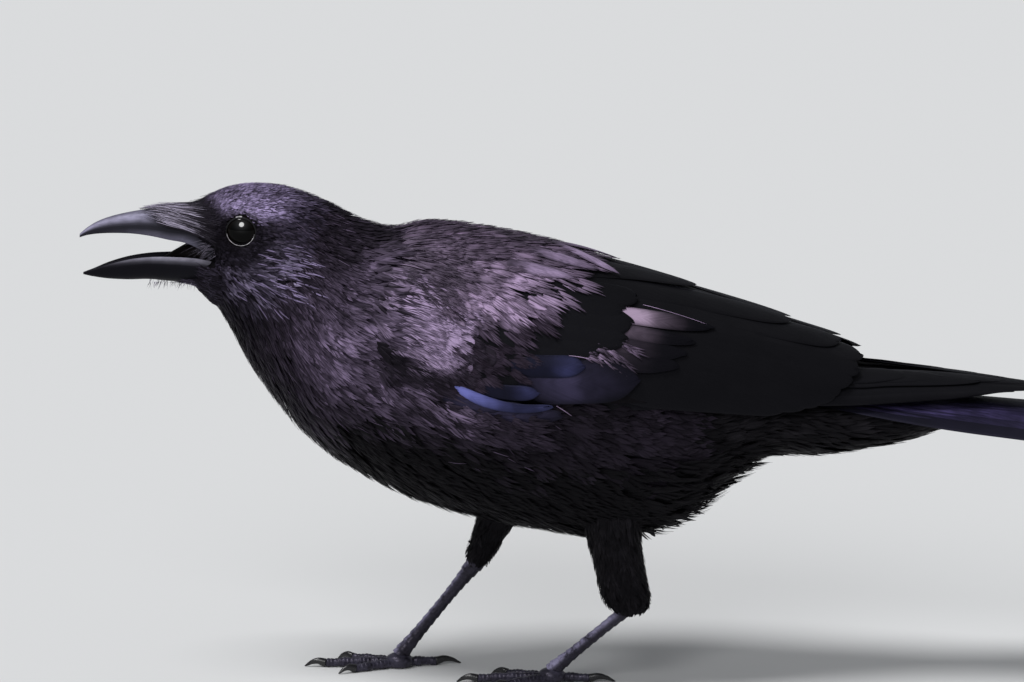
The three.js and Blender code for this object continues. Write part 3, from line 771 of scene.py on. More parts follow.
def arches(rows, steps, outward=0.0, forward=False):
    """The arch of a table on either side of the bird, moved out by so many millimetres. forward is for a
    table that runs towards the bill."""
    table = np.array(rows, float) + np.array([0, outward, 0, outward])
    t_range, a_range = (0, len(rows) - 1), (-0.25, QUARTER + 0.25)
    return {word: Surface(arch_shape(table, side), t_range, a_range, steps, (side < 0) != forward)
            for word, side in SIDES.items()}


ARCH = arches(WING, (180, 90))
HAND_ARCH = arches(HAND, (160, 80))
HOOD_ARCH = arches(HOOD, (100, 60), outward=0.2, forward=True)
JAW_ARCH = arches(JAW, (80, 60), outward=0.2)


def tail_shape(t, s):
    """The tail's upper face, s half widths from the middle: lower by camber times s squared."""
    x, middle, half, camber, thickness = np.moveaxis(stations(TAIL, t), -1, 0)
    return np.stack([x, half * s, middle + 0.35 * thickness - camber * s ** 2], -1)


TAIL_FACE = Surface(tail_shape, (0, len(TAIL) - 1), (-1.15, 1.15), (120, 60), True)


def thigh_shape(rows):
    """Level ovals down the leg, by the cosine and sine of a."""
    def shape(t, a):
        x, y, z, long, wide = np.moveaxis(stations(rows, t), -1, 0)
        return np.stack([x + long * np.cos(a), y + wide * np.sin(a), z], -1)
    return shape


THIGH = {word: Surface(thigh_shape(LEGS[word]["thigh"]), (0, len(LEGS[word]["thigh"]) - 1),
                       (-math.pi - 0.4, math.pi + 0.4), (80, 120), True) for word in SIDES}


def at_side(rows, x, z):
    """The (t, a) of an arch at side-view place (x, z): t from x, and a from the share of the height."""
    x, z = np.asarray(x, float), np.asarray(z, float)
    t = np.linspace(0, len(rows) - 1, 400)
    table = stations(rows, t)
    place = np.interp(x, table[:, 0], t)
    _, ridge, edge, _ = np.moveaxis(stations(rows, place), -1, 0)
    return np.stack([place, np.arcsin(np.clip((z - edge) / (ridge - edge), -0.2, 1))], -1)


def between(value, low, high, soft):
    """1 between low and high, falling off over soft on either side."""
    return ramp(value, low - soft, low + soft) * (1 - ramp(value, high - soft, high + soft))


def once(at):
    """True on the one whole turn where feathers start; the surface laps over itself past it."""
    return np.abs(at.a) <= math.pi


# ---------------------------------------------------------------- skin

# How far up the wing's arch the slab under its feathers goes, at places along it
SLAB_TOP = ((0.8, 3, 6, 8, 11.4), (0.4, 0.75, 1.2, 1.5, 1.5))
SLAB_START, SLAB_END = 0.8, 10.6  # its ends, along the arch
SLAB_OUTSIDE, SLAB_INSIDE = 3.0, 6.5  # depths of its two faces under the arch


def depth_along(t):
    """Depth of the coat over the skin along the ribs, in millimetres."""
    return np.interp(t, (0, 1, 4, 7, 10, 14, 18, 21, 23), (0.8, 1.4, 2.0, 3.4, 4.4, 5.0, 5.5, 4.0, 2.5))


def skin_shell():
    """The body outline moved in by the depth of the coat, round the whole turn."""
    t = np.linspace(0, LAST_RIB, 150)
    a = np.linspace(-math.pi, math.pi, 97)[:-1]
    t, a = np.meshgrid(t, a, indexing="ij")
    points, normals, _, _ = BODY.at(t, a)
    return shell(points - normals * depth_along(t)[..., None], bake=BODY.unwrap(t, a))


def wing_shell(surface):
    """A slab under the wing's feathers: up along the arch at one depth, and back down at another."""
    t = np.linspace(SLAB_START, SLAB_END, 40)
    a = np.linspace(0.06, 1, 14)
    top = np.interp(t, *SLAB_TOP)
    t, a = np.meshgrid(t, a, indexing="ij")
    a = a * top[:, None]
    points, normals, _, _ = surface.at(t, a)
    outer = points - normals * SLAB_OUTSIDE
    inner = points - normals * SLAB_INSIDE
    rings = np.concatenate([outer, inner[:, ::-1]], 1)
    bake = surface.unwrap(np.concatenate([t, t], 1), np.concatenate([a, a[:, ::-1]], 1))
    return shell(rings, surface.flip, bake)


def thigh_shell(surface, rows):
    """The thigh's outline moved in by the depth of its coat."""
    t, a = np.meshgrid(np.linspace(0, len(rows) - 1.1, 30), np.linspace(-math.pi, math.pi, 33)[:-1], indexing="ij")
    points, normals, _, _ = surface.at(t, a)
    return shell(points - normals * np.interp(t, (0, 5), (2.5, 0.9))[..., None], True, surface.unwrap(t, a))


wings = [wing_shell(ARCH[word]) for word in SIDES]
thighs = [thigh_shell(THIGH[word], LEGS[word]["thigh"]) for word in SIDES]
piece("skin", [skin_shell(), *wings, *thighs], SKIN, "plumage", "head", "neck", "trunk", "tail_coverts")


# ---------------------------------------------------------------- coat of the head and body

def coat_depth(at):
    """The depth of the coat, as a rule."""
    return depth_along(at.t)


def lengths(at):
    """Feather length over the body: shortest on the face, longest at the vent, longer below than above."""
    up = 0.5 + 0.5 * np.sin(at.a)
    above = np.interp(at.t, (0, 1, 3, 5, 7, 9, 12, 16, 20, 23), (3.2, 4.0, 5.4, 9.5, 13, 15, 19, 22, 24, 30))
    below = np.interp(at.t, (0, 1, 3, 5, 7, 9, 12, 16, 19, 23), (3.6, 6.0, 12.5, 17, 18, 19, 22, 25, 30, 32))
    return below + (above - below) * up


def slimness(at):
    """Width of a feather as a share of its length: narrow on the head, hackles on the neck, then broad."""
    return np.interp(at.t, (0, 3, 5, 8, 10.5, 14, 23), (0.42, 0.28, 0.24, 0.3, 0.46, 0.54, 0.5))


EYE_CLEARING = 7.3  # radius round the eye that feathers leave free


def eye_distance(point):
    """Distance from the eye in the side view, and far for the middle of the head."""
    middle = np.abs(point[..., 1]) < 12
    return np.hypot(point[..., 0] - EYE[0], point[..., 2] - EYE[2]) + np.where(middle, 99, 0)


def face_clearing(at, size):
    """True where a feather of this size neither starts on the eye, nor reaches it, nor closes the mouth."""
    ahead, middle = at.point.copy(), at.point.copy()
    ahead[..., 0] += size * 0.9
    middle[..., 0] += size * 0.45
    near = np.minimum(np.minimum(eye_distance(at.point), eye_distance(ahead)), eye_distance(middle))
    mouth = (at.x < -169.3) & (at.z > 208.0) & (at.z < 220.0 - 0.5 * (at.x + 171.7))
    return (near > EYE_CLEARING) & ~mouth


def head_where(low, high):
    """A rule: the face and crown where the surface looks up by between low and high."""
    return lambda at: once(at) & (at.t < 5.4) & (at.up > low) & (at.up <= high) & face_clearing(at, lengths(at))


def body_where(low, high):
    """A rule: a length of the body between two ribs, without what the folded wing hides."""
    def where(at):
        edge = np.interp(at.x, [row[0] for row in WING], [row[2] for row in WING])
        hidden = (at.x > -66) & (at.x < 134) & (at.z > edge + 7)
        return once(at) & (at.t >= low) & (at.t < high) & ~hidden
    return where


def spot(point, x, z, long, high):
    """A soft patch in the side view: a bell curve of x over long, times one of z over high."""
    return np.exp(-((point[..., 0] - x) / long) ** 2 - ((point[..., 2] - z) / high) ** 2)


def face_shine(at):
    """Painted sheen and shade of the head: dark lores and nape, a painted highlight over the forehead and crown,
    and bright painted fans over the cheek and the jaw.
    """
    brow = np.interp(at.x, (-176, -164, -152, -135), (238, 231, 230, 232))
    crown = 0.85 * np.exp(-((at.x + 153) / 20) ** 2) * ramp(at.z - brow, 0, 8)
    cheek = 0.85 * spot(at.point, -130, 212, 15, 8) + 0.6 * spot(at.point, -136, 200, 13, 7)
    jaw = 0.5 * spot(at.point, -159, 204, 8, 6)
    return np.clip(0.02 + crown + cheek + jaw + 0.05 * ramp(at.x, -150, -135), 0, 1.2)


def face_turn(at):
    """The feathers of the cheek run level, or a little upwards, before they follow the neck down."""
    level = 0.5 * spot(at.point, -138, 213, 20, 14) + 0.3 * spot(at.point, -140, 198, 18, 12)
    return level * np.cos(at.a)


def wing_hollow_shade(at):
    """Painted shade in the hollow in front of the bend of the wing."""
    return np.clip(1.6 * spot(at.point, -89, 173.5, 7.5, 5.5), 0, 1)


def body_shine(at):
    """Painted sheen and shade: brightest over the shoulders, dark under the throat, behind the head and at the
    bend of the wing, and lighter where the surface looks up, as if lit from above.
    """
    x, z = at.x, at.z
    nape = ramp(z, 214, 226) * (1 - ramp(x, -92, -80))
    mantle = 0.8 * ramp(x, -112, -86) * ramp(z, 150, 190) * (1 - nape)
    side = 0.65 * spot(at.point, -118, 187, 22, 20)
    breast = 0.5 * ramp(z, 108, 150) * (1 - ramp(z, 165, 195)) * ramp(x, -142, -118) * (1 - ramp(x, -80, -40))
    # painted light from above: the sheen is stronger where the surface looks up
    facing = 0.2 + 0.8 * ramp(at.up, -0.5, 0.3)
    return np.clip(0.07 + mantle + side + breast, 0, 1.1) * facing * (1 - wing_hollow_shade(at))


def either(share, chosen):
    """A share, or the rest of it."""
    return share if chosen else 1 - share


def soft_share(low, high, above):
    """A rule: a share that goes from 0 to 1 as the surface turns up from low to high, or the rest of it."""
    return lambda at: either(ramp(at.up, low, high), above)


def both(first, second):
    """A rule: the product of two others."""
    return lambda at: first(at) * second(at)


def dimmed(factor, rule):
    """A rule: another one times a factor."""
    return lambda at: factor * rule(at)


HEAD_SHAPE = dict(depth=coat_depth, locks=3, rows=3, fray=0.3, crown=0.15, thick=0.13, wander=0.1, drift=0.04,
                  turn=face_turn)
for name, seed, low, high, material in (("crown", 11, 0.3, 2, CROWN), ("cheek", 12, -0.45, 0.3, HEAD_COAT),
                                        ("throat", 13, -2, -0.45, HEAD_COAT)):
    face = coat(BODY, seed, 4.6, lengths, slimness, head_where(low, high), shine=face_shine, **HEAD_SHAPE)
    piece(f"{name}_feathers", face, material, "plumage")


def cheek_where(at):
    """Long barbs in bundles, pale with painted sheen, from behind the eye and the corner of the mouth back over
    the cheek.
    """
    bundle = ramp(np.sin(1.35 * at.z - 0.3 * at.x), -0.3, 0.7)
    behind_eye, behind_mouth = spot(at.point, -137, 214, 12, 8), spot(at.point, -141, 201, 12, 6)
    fan = 1.2 * behind_eye + behind_mouth + 0.5 * spot(at.point, -160, 204, 7, 5)
    return once(at) * bundle * np.clip(fan, 0, 1) * (eye_distance(at.point) > 9) * (fan > 0.12)


def eyelid_where(at):
    """A ring round the eye."""
    return between(eye_distance(at.point), 8.1, 10.6, 0.3) * once(at)


# the feathers round the eye take the head's painted sheen, dimmed as painted shade round the eye
piece("eye_feathers", coat(BODY, 19, 3.0, 2.8, 0.42, eyelid_where, shine=dimmed(0.55, face_shine),
                           **HEAD_SHAPE | dict(depth=1.0)), HEAD_COAT, "plumage")
piece("cheek_strands", coat(BODY, 21, 2.2, 13.0, 0.05, cheek_where, turn=face_turn, wander=0.06, depth=1.6,
                            lift=0.25, shine=0.5, locks=1, rows=7, crown=0.0, thick=0.15, drift=0.04, mix=0.0,
                            least=0.3), CROWN, "plumage")
NECK_SHAPE = dict(depth=coat_depth, locks=6, rows=4, fray=0.35, crown=0.3, thick=0.16, wander=0.08, drift=0.03,
                  least=0.2)
piece("neck_feathers", coat(BODY, 14, 4.1, lengths, slimness, body_where(5.1, 10.2), shine=body_shine,
                            **NECK_SHAPE), PLUMAGE, "plumage")
BODY_SHAPE = dict(depth=coat_depth, locks=8, fray=0.3, crown=0.45, thick=0.18, drift=0.03)
# the side that looks down takes the dull plumage darkened as painted shade
for name, seed, above, material in (("breast", 15, True, PLUMAGE), ("belly", 16, False, DULL_SHADED)):
    share = both(body_where(9.9, 16.2), soft_share(-0.55, -0.05, above))
    piece(f"{name}_feathers", coat(BODY, seed, 4.4, lengths, slimness, share, shine=body_shine, **BODY_SHAPE),
          material, "plumage")
piece("vent_feathers", coat(BODY, 18, 4.4, lengths, slimness, body_where(15.9, 22.95), shine=0.5, **BODY_SHAPE),
      DULL_SHADED, "plumage")


def fluff(seed):
    """Loose feathers round the vent and flanks whose tips stand out and hang."""
    where = lambda at: between(at.x, 32, 86, 8) * (at.up < -0.1) * once(at)
    return coat(BODY, seed, 1.8, 25, 0.42, where, lift=4.2, depth=coat_depth, locks=9, fray=0.6, crown=0.9,
                wander=0.4, shine=0.15, drift=0.1)


piece("vent_fluff", fluff(17), DULL_SHADED, "plumage")
STRANDS = dict(locks=1, rows=5, crown=0.0, thick=0.12, drift=0.06, wander=0.16)


def strand_where(at):
    """Fine strands, pale with painted sheen, stand out on the cheek, the sides of the neck and the breast, fading
    where the surface looks down.
    """
    behind_wing = (at.x > -60) & (at.z > 150)
    slope = ramp(at.up, -0.5, 0.1)
    return once(at) * between(at.x, -148, -10, 12) * slope * ~behind_wing * face_clearing(at, 12)


piece("fine_strands", coat(BODY, 20, 0.16, 11, 0.028, strand_where, lift=0.3, depth=2.0, shine=0.5, **STRANDS),
      PLUMAGE, "plumage")


# ---------------------------------------------------------------- wings

def scapular_where(at):
    """Starts of the mantle and scapular feathers: the top front of the folded wing, to a slanting lower edge."""
    lowest = np.interp(at.x, (-76, -56, -44, -20, -5, 10), (206, 194, 188, 191, 199, 204))
    return ramp(at.x, -84, -74) * (1 - ramp(at.x, -4, 6)) * (at.z > lowest) * (at.a < QUARTER + 0.02)


def scapular_length(at):
    """Longer towards the back."""
    return np.interp(at.x, (-80, -50, -20, 8), (13, 18, 26, 30))


def scapular_turn(at):
    """Level along the spine, and down towards the wing's side."""
    return -0.1 - 0.42 * ramp(-at.a, -1.45, -0.7)


def lesser_where(at):
    """Starts of the lesser coverts, on the bend of the wing."""
    top = np.interp(at.x, (-88, -76, -50, -42), (214, 210, 200, 192))
    return between(at.x, -88, -47, 2) * (at.z < top) * (at.z > 164) * (at.a > -0.1)


def median_where(at):
    """Starts of the small coverts below the scapulars, drawn dark in the shaded plumage as painted shade."""
    return between(at.x, -62, -20, 3) * (at.z < 180) * (at.z > np.interp(at.x, (-60, -30, 0), (158, 164, 167)))


def flank_where(at):
    """Starts of the neck and breast feathers that lap over the wing's front and lower edges."""
    top = np.interp(at.x, (-92, -88, -84, -80, -72, -60, -30, 0), (222, 222, 200, 172, 162, 154, 145, 142))
    return between(at.x, -93, -14, 2) * (at.z < top)


def scapular_shine(at):
    """Painted sheen: brightest in a band across the shoulder that rises towards the back, with painted shade below
    it and behind it.
    """
    band = 1.45 * spot(at.point, -36, 203, 24, 10)
    rear = 0.65 * spot(at.point, 0, 215, 15, 7)
    mantle = 0.3 * ramp(at.z, 208, 218) * (1 - ramp(at.x, -24, -4))
    return np.clip(0.004 + band + rear + mantle, 0, 1.35) * (1 - 0.9 * ramp(at.x, 3, 9))


def shoulder_share(upper):
    """A rule: the upper part of the shoulder, or the lower, with a soft change between them."""
    return lambda at: either(ramp(at.z - np.interp(at.x, (-70, -40, -10, 10), (199, 198, 204, 209)), -5, 4), upper)


def before_lances(at):
    """The front of the shoulder, up to where the long pointed scapulars start."""
    return 1 - ramp(at.x, -38, -22)


def lesser_shine(at):
    """Painted sheen on the upper half of the wing's bend, and painted shade under it and in the hollow before it.
    """
    lit = ramp(at.z, 168, 180) * (1 - ramp(at.x, -60, -50) * (1 - ramp(at.z, 184, 196)))
    return (0.06 + 1.6 * lit) * (0.45 + 0.55 * ramp(at.x, -90, -76)) * (1 - wing_hollow_shade(at))


def flank_shine(at):
    """Painted sheen, brighter in front, and painted shade in the hollow."""
    return (0.1 + 0.45 * (1 - ramp(at.x, -66, -34))) * (1 - wing_hollow_shade(at))


# Coverts that show one by one, as start x and z, end x and z, width, height over the arch, tone.
# Inner greater coverts, lit where they come out from under the scapulars
INNER = [
    (8, 195, 76, 179.5, 10, 0.35, 0.8), (6, 190, 66, 174.5, 8, 0.0, 0.35), (4, 184, 62, 169.0, 10, -0.25, 0.14),
    (0, 178, 58, 164.0, 11, -0.45, 0.1),
]
# Smooth black scapulars and inner coverts under the shoulder's bright band, from below, unlit as painted shade
BLACK_SHADED = [
    (-64, 168, -16, 160.0, 12, -0.5, 0.1), (-64, 176, -22, 166.0, 12, -0.3, 0.1),
    (-56, 181, -8, 169.5, 13, -0.2, 0.1), (-44, 180, 10, 171.0, 13, -0.1, 0.1),
    (-34, 182, 22, 173.5, 13, 0.1, 0.1), (-60, 190, -18, 176.0, 13, 0.0, 0.1),
    (-46, 191, 0, 178.0, 13, 0.1, 0.1), (-30, 191, 18, 180.0, 13, 0.2, 0.1),
    (-22, 188, 33, 177.5, 13, 0.5, 0.1), (-18, 195, 36, 184.0, 14, 0.7, 0.1),
    (-24, 201, 32, 190.0, 14, 0.9, 0.1), (-10, 206, 38, 194.5, 13, 1.1, 0.1),
]
# Long pointed scapulars
LANCES = [
    (-26, 213, 7, 204.0, 8.5, 2.1, 0.75), (-16, 217.5, 19, 206.0, 8.5, 2.3, 0.85),
    (-4, 219.5, 28, 203.5, 8, 2.5, 1.0),
]
# Outer greater covert, then the primary coverts under the alula
OUTER = [(-22, 161, 39, 159.0, 21, 0.45, 0.75)]
PRIMARY_COVERTS = [
    (-66, 156, -26, 147.5, 7.5, 0.7, 0.5), (-62, 154, -16, 145.5, 7.5, 0.4, 0.7),
    (-58, 152, -7, 143.5, 7.5, 0.1, 0.6), (-54, 150, 2, 142.0, 7.5, -0.2, 0.4),
]
# Alula, then the two coverts with a painted blue sheen on their tips
ALULA = [(-51, 158.2, -6, 137.4, 6.2, 2.1, 1.0)]
BLUE_SHEEN_TIPS = [(-42, 157.5, -9, 154.0, 7.5, 1.1, 0.6), (-24, 169, 12.5, 166.5, 11, 1.0, 0.6)]
# Black feathers along the spine, between the two wings: start x, end x, width, height over the arch
SPINE = [(-36, 46, 17, -0.1), (18, 96, 18, -0.35), (58, 129, 16, -0.6), (88, 137, 13, -1.0)]
# Thin edges, pale as painted highlights: start x and z, end x and z, width, height over the arch, tone
PALE_EDGES = [
    (40, 193.2, 71, 185.0, 0.34, 0.9, 0.85), (4, 172.8, 15, 171.8, 0.36, 1.4, 0.8),
    (-2, 149.2, 6, 145.0, 0.3, 1.0, 0.6),
]
# Frayed ends of the inner coverts: x, z, length, width, turn
FRAYS = [
    (12, 180.5, 15, 6, -0.5), (18, 178.0, 16, 6, -0.5), (24, 181.5, 14, 5, -0.5), (15, 174.5, 17, 6, -0.55),
    (23, 174.0, 17, 6, -0.5), (29, 178.0, 15, 5, -0.45), (8, 176.5, 15, 6, -0.45), (20, 170.0, 16, 5, -0.5),
]


def edged(dark, power=2):
    """A factor on a vane's painted sheen across it: 1 in the middle, and less by dark times w to the power at the
    edges.
    """
    return lambda w: 1 - dark * w ** power


def fading(first, last, low):
    """A glow of painted sheen that is full up to first along the vane and gone by last, and dimmer at both edges.
    """
    return lambda share, w: (low + (1 - low) * (1 - ramp(share, first, last))) * edged(0.55, 4)(w)


def tipped(first, last, low=0.06):
    """A glow of painted sheen that grows from first to last along the vane, with darker edges and a darker end."""
    grown = lambda share: (low + (1 - low) * ramp(share, first, last)) * (1 - 0.6 * ramp(share, 0.8, 1))
    return lambda share, w: grown(share) * edged(0.7, 4)(w)


def scaled(middle, reach, low):
    """A glow of painted sheen with its bright middle at one share of the length, soft towards every edge."""
    return lambda share, w: (low + (1 - low) * np.exp(-((share - middle) / reach) ** 2)) * edged(0.75)(w)


def exposed(first, last):
    """A glow of painted light for a vane that comes out from under others at first and fades by last."""
    shown = lambda share: ramp(share, first - 0.1, first + 0.05) * (1 - ramp(share, first + 0.15, last))
    return lambda share, w: shown(share) * edged(0.6, 4)(w)


def from_table(surface, rows, table, outline, rng, strip, shine, bow=0.04, glow=None):
    """Vanes placed by a table of start, end, width, height and tone."""
    start_x, start_z, end_x, end_z, width, tip, tone = np.array(table, float).T
    return vanes(surface, at_side(rows, start_x, start_z), at_side(rows, end_x, end_z), width, outline, rng,
                 rows=20, sides=16, root=tip - 1.2, tip=tip, rise=0.8, camber=0.7, thick=0.35, bend=bow,
                 ragged=0.06, shaft=0.1, shine=shine, tone=tone, strip=strip, glow=glow)


QUILL = dict(outline=flight_tip, sides=16, ragged=0.02, shaft=0.3)  # what the long feathers share
SMALL_COVERTS = dict(turn=-0.3, wander=0.06, locks=1, rows=8, sides=10, outline=covert_tip, crown=0.0, fray=0.06,
                     mix=0.0, thick=0.15, least=0.6)
WISPS = dict(turn=-0.3, wander=0.08, locks=11, fray=0.15, crown=0.15, thick=0.12, drift=0.03, least=0.5, mix=0.1)
MANTLE = dict(turn=scapular_turn, wander=0.08, depth=2.2, lift=2.3, locks=13, rows=5, fray=0.24, crown=0.35,
              drift=0.03, least=0.38, mix=0.12)
FLIGHT_STRIPS = 24  # places for long wing feathers in the bake map


def flight_feathers(arch, hand, side, rng):
    """Three tertials over eight secondaries, and eight primaries, each row from the top one down."""
    k = np.arange(3)
    tertials = vanes(arch, at_side(WING, -22 + 10 * k, (213, 205, 199)),
                     at_side(WING, (66, 113, 137), (196, 179, 170)), (17, 19, 19), rng=rng, rows=26,
                     root=-0.8 - 0.3 * k, tip=2.2 - 0.6 * k - 0.2 * (side > 0), rise=2.2, camber=0.8, thick=0.6,
                     shine=0.5, tone=(0.5, 0.4, 0.5), strip=(0, FLIGHT_STRIPS), **QUILL)
    k = np.arange(8)
    end_x = (148, 146.5, 143, 139, 135.5, 130, 122.5, 113)
    end_z = (165.4, 161.6, 157.6, 154, 151.5, 149.4, 147.6, 146)
    secondaries = vanes(arch, at_side(WING, 6 + 2 * k, 195 - 5.2 * k), at_side(WING, end_x, end_z), 17 - 0.4 * k,
                        rng=rng, rows=26, root=-1.5 - 0.32 * k, tip=-0.6 - 0.32 * k, camber=0.7, thick=0.45,
                        bend=-0.015, shine=0.4, tone=0.3 + 0.3 * rng.random(8), strip=(3, FLIGHT_STRIPS), **QUILL)
    end_x, end_z = (170, 188, 205, 220, 232, 239, 236, 222), (155, 153.6, 151.6, 150.6, 150, 149.3, 148.6, 148)
    primaries = vanes(hand, at_side(HAND, 4 + 2 * k, 172 - 3.4 * k), at_side(HAND, end_x, end_z), 12.5 - 0.5 * k,
                      rng=rng, rows=28, root=-0.4 - 0.3 * k, tip=0.2 - 0.3 * k, camber=0.5, thick=0.45, shine=0.35,
                      tone=0.2 + 0.4 * rng.random(8), strip=(11, FLIGHT_STRIPS), **QUILL | dict(sides=14))
    return [tertials, secondaries, primaries]


def pale_edges(arch, side, rng):
    """Single thin barbs that catch the light, and the frayed ends of the inner coverts."""
    start_x, start_z, end_x, end_z, width, tip, tone = np.array(PALE_EDGES).T
    edges = vanes(arch, at_side(WING, start_x, start_z), at_side(WING, end_x, end_z), width, lance_tip, rng,
                  rows=12, sides=4, root=tip - 0.3, tip=tip, camber=0.1, thick=0.2, bend=0.1 * side, shine=0.8,
                  tone=tone)
    x, z, long, wide, heading = np.array(FRAYS).T
    t, a = at_side(WING, x, z).T
    frays = fans(arch, t, a, long, wide, heading, rng, locks=9, rows=5, root=-0.8, tip=0.9, crown=0.2, thick=0.15,
                 fray=0.4, shine=0.75, drift=0.08, glow=fading(0.3, 1.0, 0.1))
    return [edges, frays]


for word, side in SIDES.items():
    arch, hand = ARCH[word], HAND_ARCH[word]
    rng = np.random.default_rng(31 + side)
    piece(f"flight_feathers_{word}", flight_feathers(arch, hand, side, rng), FLIGHT, "flight_feathers",
          f"wing_secondaries_{word}", f"wing_primaries_{word}")
    inner = from_table(arch, WING, INNER, covert_tip, rng, (0, 4), 0.8, glow=exposed(0.32, 0.88))
    piece(f"greater_coverts_{word}", inner, COVERT, "flight_feathers", f"wing_coverts_{word}")
    outer = [from_table(arch, WING, OUTER, covert_tip, rng, (0, 5), 0.14, glow=scaled(0.44, 0.24, 0.14)),
             from_table(arch, WING, PRIMARY_COVERTS, flight_tip, rng, (1, 5), 0.2, glow=tipped(0.1, 0.6, 0.3))]
    piece(f"outer_coverts_{word}", outer, INDIGO_SHEEN, "flight_feathers")
    blue = [from_table(arch, WING, ALULA, leaf_tip, rng, (0, 3), 0.62, 0.245, fading(0.0, 0.7, 0.16)),
            from_table(arch, WING, BLUE_SHEEN_TIPS, covert_tip, rng, (1, 3), 0.22, glow=tipped(0.5, 0.9))]
    piece(f"blue_sheen_coverts_{word}", blue, BLUE_SHEEN, "flight_feathers")
    piece(f"pale_edges_{word}", pale_edges(arch, side, rng), GLOSSY, "flight_feathers")
    median = coat(arch, 64 + side, 2.6, 14.0, 0.42, median_where, depth=1.2, lift=1.3, shine=0.12, **WISPS)
    piece(f"median_coverts_{word}", median, SHADOW, "plumage")
    black = from_table(arch, WING, BLACK_SHADED, flight_tip, rng, (0, len(BLACK_SHADED)), 0.0)
    piece(f"black_shaded_scapulars_{word}", black, FLIGHT, "plumage")
    lesser = [
        coat(arch, 41 + side, 3.4, 15.0, 0.55, lesser_where, depth=2.2, lift=0.9, glow=scaled(0.78, 0.3, 0.3),
             shine=dimmed(0.6, lesser_shine), **SMALL_COVERTS),
        coat(arch, 47 + side, 3.4, 14.0, 0.5, lesser_where, depth=1.6, lift=1.7, shine=lesser_shine,
             glow=tipped(0.3, 0.8, 0.45), **WISPS | dict(locks=13, crown=0.05)),
    ]
    piece(f"lesser_coverts_{word}", lesser, SCALE, "plumage")
    lances = from_table(arch, WING, LANCES, lance_tip, rng, (0, 3), 0.5, glow=tipped(0.05, 0.45, 0.3))
    piece(f"long_scapulars_{word}", lances, SCALE, "plumage")
    # the lower part of the shoulder takes the shaded copy of the plumage, as painted shade under the bright band
    for name, seed, upper, material in (("mantle", 51, True, GLOSSY), ("scapulars", 54, False, SHADOW)):
        share = both(scapular_where, shoulder_share(upper))
        layers = [
            coat(arch, seed + side, 3.4, scapular_length, 0.42, share, shine=scapular_shine,
                 glow=fading(0.55, 1.1, 0.35), **MANTLE),
            coat(arch, seed + side + 90, 2.6, scapular_length, 0.34, both(share, before_lances), depth=2.6,
                 lift=1.7, shine=scapular_shine, glow=scaled(0.66, 0.4, 0.25),
                 **SMALL_COVERTS | dict(turn=scapular_turn, camber=0.2, outline=lance_tip)),
        ]
        piece(f"{name}_{word}", layers, material, "plumage")
    strands = coat(arch, 57 + side, 0.22, 13, 0.028, both(scapular_where, shoulder_share(True)),
                   turn=scapular_turn, lift=1.8, depth=1.0, shine=0.6, **STRANDS)
    piece(f"shoulder_strands_{word}", strands, GLOSSY, "plumage")
    flank = coat(arch, 61 + side, 4.2, 17, 0.45, flank_where, turn=-0.16, wander=0.16, depth=2.0, lift=1.6,
                 locks=8, fray=0.35, crown=0.5, shine=flank_shine, drift=0.05)
    piece(f"flank_feathers_{word}", flank, PLUMAGE, "plumage")


ABOVE_RIDGE = 999.0  # any height over the ridge, which places a feather on it


def spine_feathers():
    """Broad feathers along the ridge where the two wings meet, a little under the wings' own."""
    start_x, end_x, width, tip = np.array(SPINE, float).T
    ridge = lambda x: at_side(WING, x, np.full(len(x), ABOVE_RIDGE))
    return vanes(ARCH["left"], ridge(start_x), ridge(end_x), width, rng=np.random.default_rng(68), rows=24,
                 root=tip - 2.0, tip=tip, camber=0.7, thick=0.45, shine=0.45, tone=0.45, strip=(0, len(SPINE)),
                 **QUILL | dict(ragged=0.004))


piece("spine_feathers", spine_feathers(), FLIGHT, "plumage")


# ---------------------------------------------------------------- tail

TAIL_ENDS = (249.6, 249.4, 248.8, 247.4, 245, 241)  # x of the tips, from the middle pair outwards


def down_tail(x):
    """The place t along the tail's table."""
    return np.interp(x, [row[0] for row in TAIL], np.arange(len(TAIL)))


def upper_tail_coverts():
    """Five feathers over the root of the tail, from the two outer ones to the middle one on top."""
    k = np.array([-2, 2, -1, 1, 0])
    out = np.abs(k)
    start = np.stack([down_tail(114 + 0 * k), 0.14 * k], -1)
    end = np.stack([down_tail(190 - 5 * out), 0.19 * k], -1)
    return vanes(TAIL_FACE, start, end, 15, rng=np.random.default_rng(72), rows=24, root=8.2 - 0.6 * out,
                 tip=2.2 - 0.3 * out, rise=0.9, camber=0.6, thick=0.45, shine=0.4, tone=0.45, strip=(0, 5),
                 **QUILL)


def tail_feathers():
    """Twelve feathers, six a side, from the middle pair on top to the outermost underneath."""
    made = []
    rng = np.random.default_rng(71)
    k = np.arange(6)
    for number, side in enumerate(SIDES.values()):
        first, last = down_tail(np.full(6, 114.0)), down_tail(np.array(TAIL_ENDS))
        start = np.stack([first, side * (0.04 + 0.13 * k)], -1)
        half = stations(TAIL, last)[:, 2]
        end = np.stack([last, side * np.minimum((3.6 + 5.3 * k) / half, 0.98)], -1)
        sunk = 0.34 * k + 0.17 * (side > 0)
        # shine paints a sheen on the fourth and fifth feathers out, and leaves the middle and outermost feathers
        # dim
        made.append(vanes(TAIL_FACE, start, end, 17.5 - 0.4 * k, rng=rng, rows=30, root=0.6 - sunk, tip=0.9 - sunk,
                          camber=0.5, thick=0.45, shine=(0.2, 0.3, 0.45, 0.8, 0.7, 0.2),
                          tone=0.3 + 0.5 * rng.random(6), strip=(6 * number, 12), **QUILL | dict(ragged=0.015)))
    return made


piece("tail_feathers", tail_feathers(), TAIL_VANE, "flight_feathers", "tail")
piece("upper_tail_coverts", upper_tail_coverts(), TAIL_VANE, "flight_feathers")


# ---------------------------------------------------------------- legs

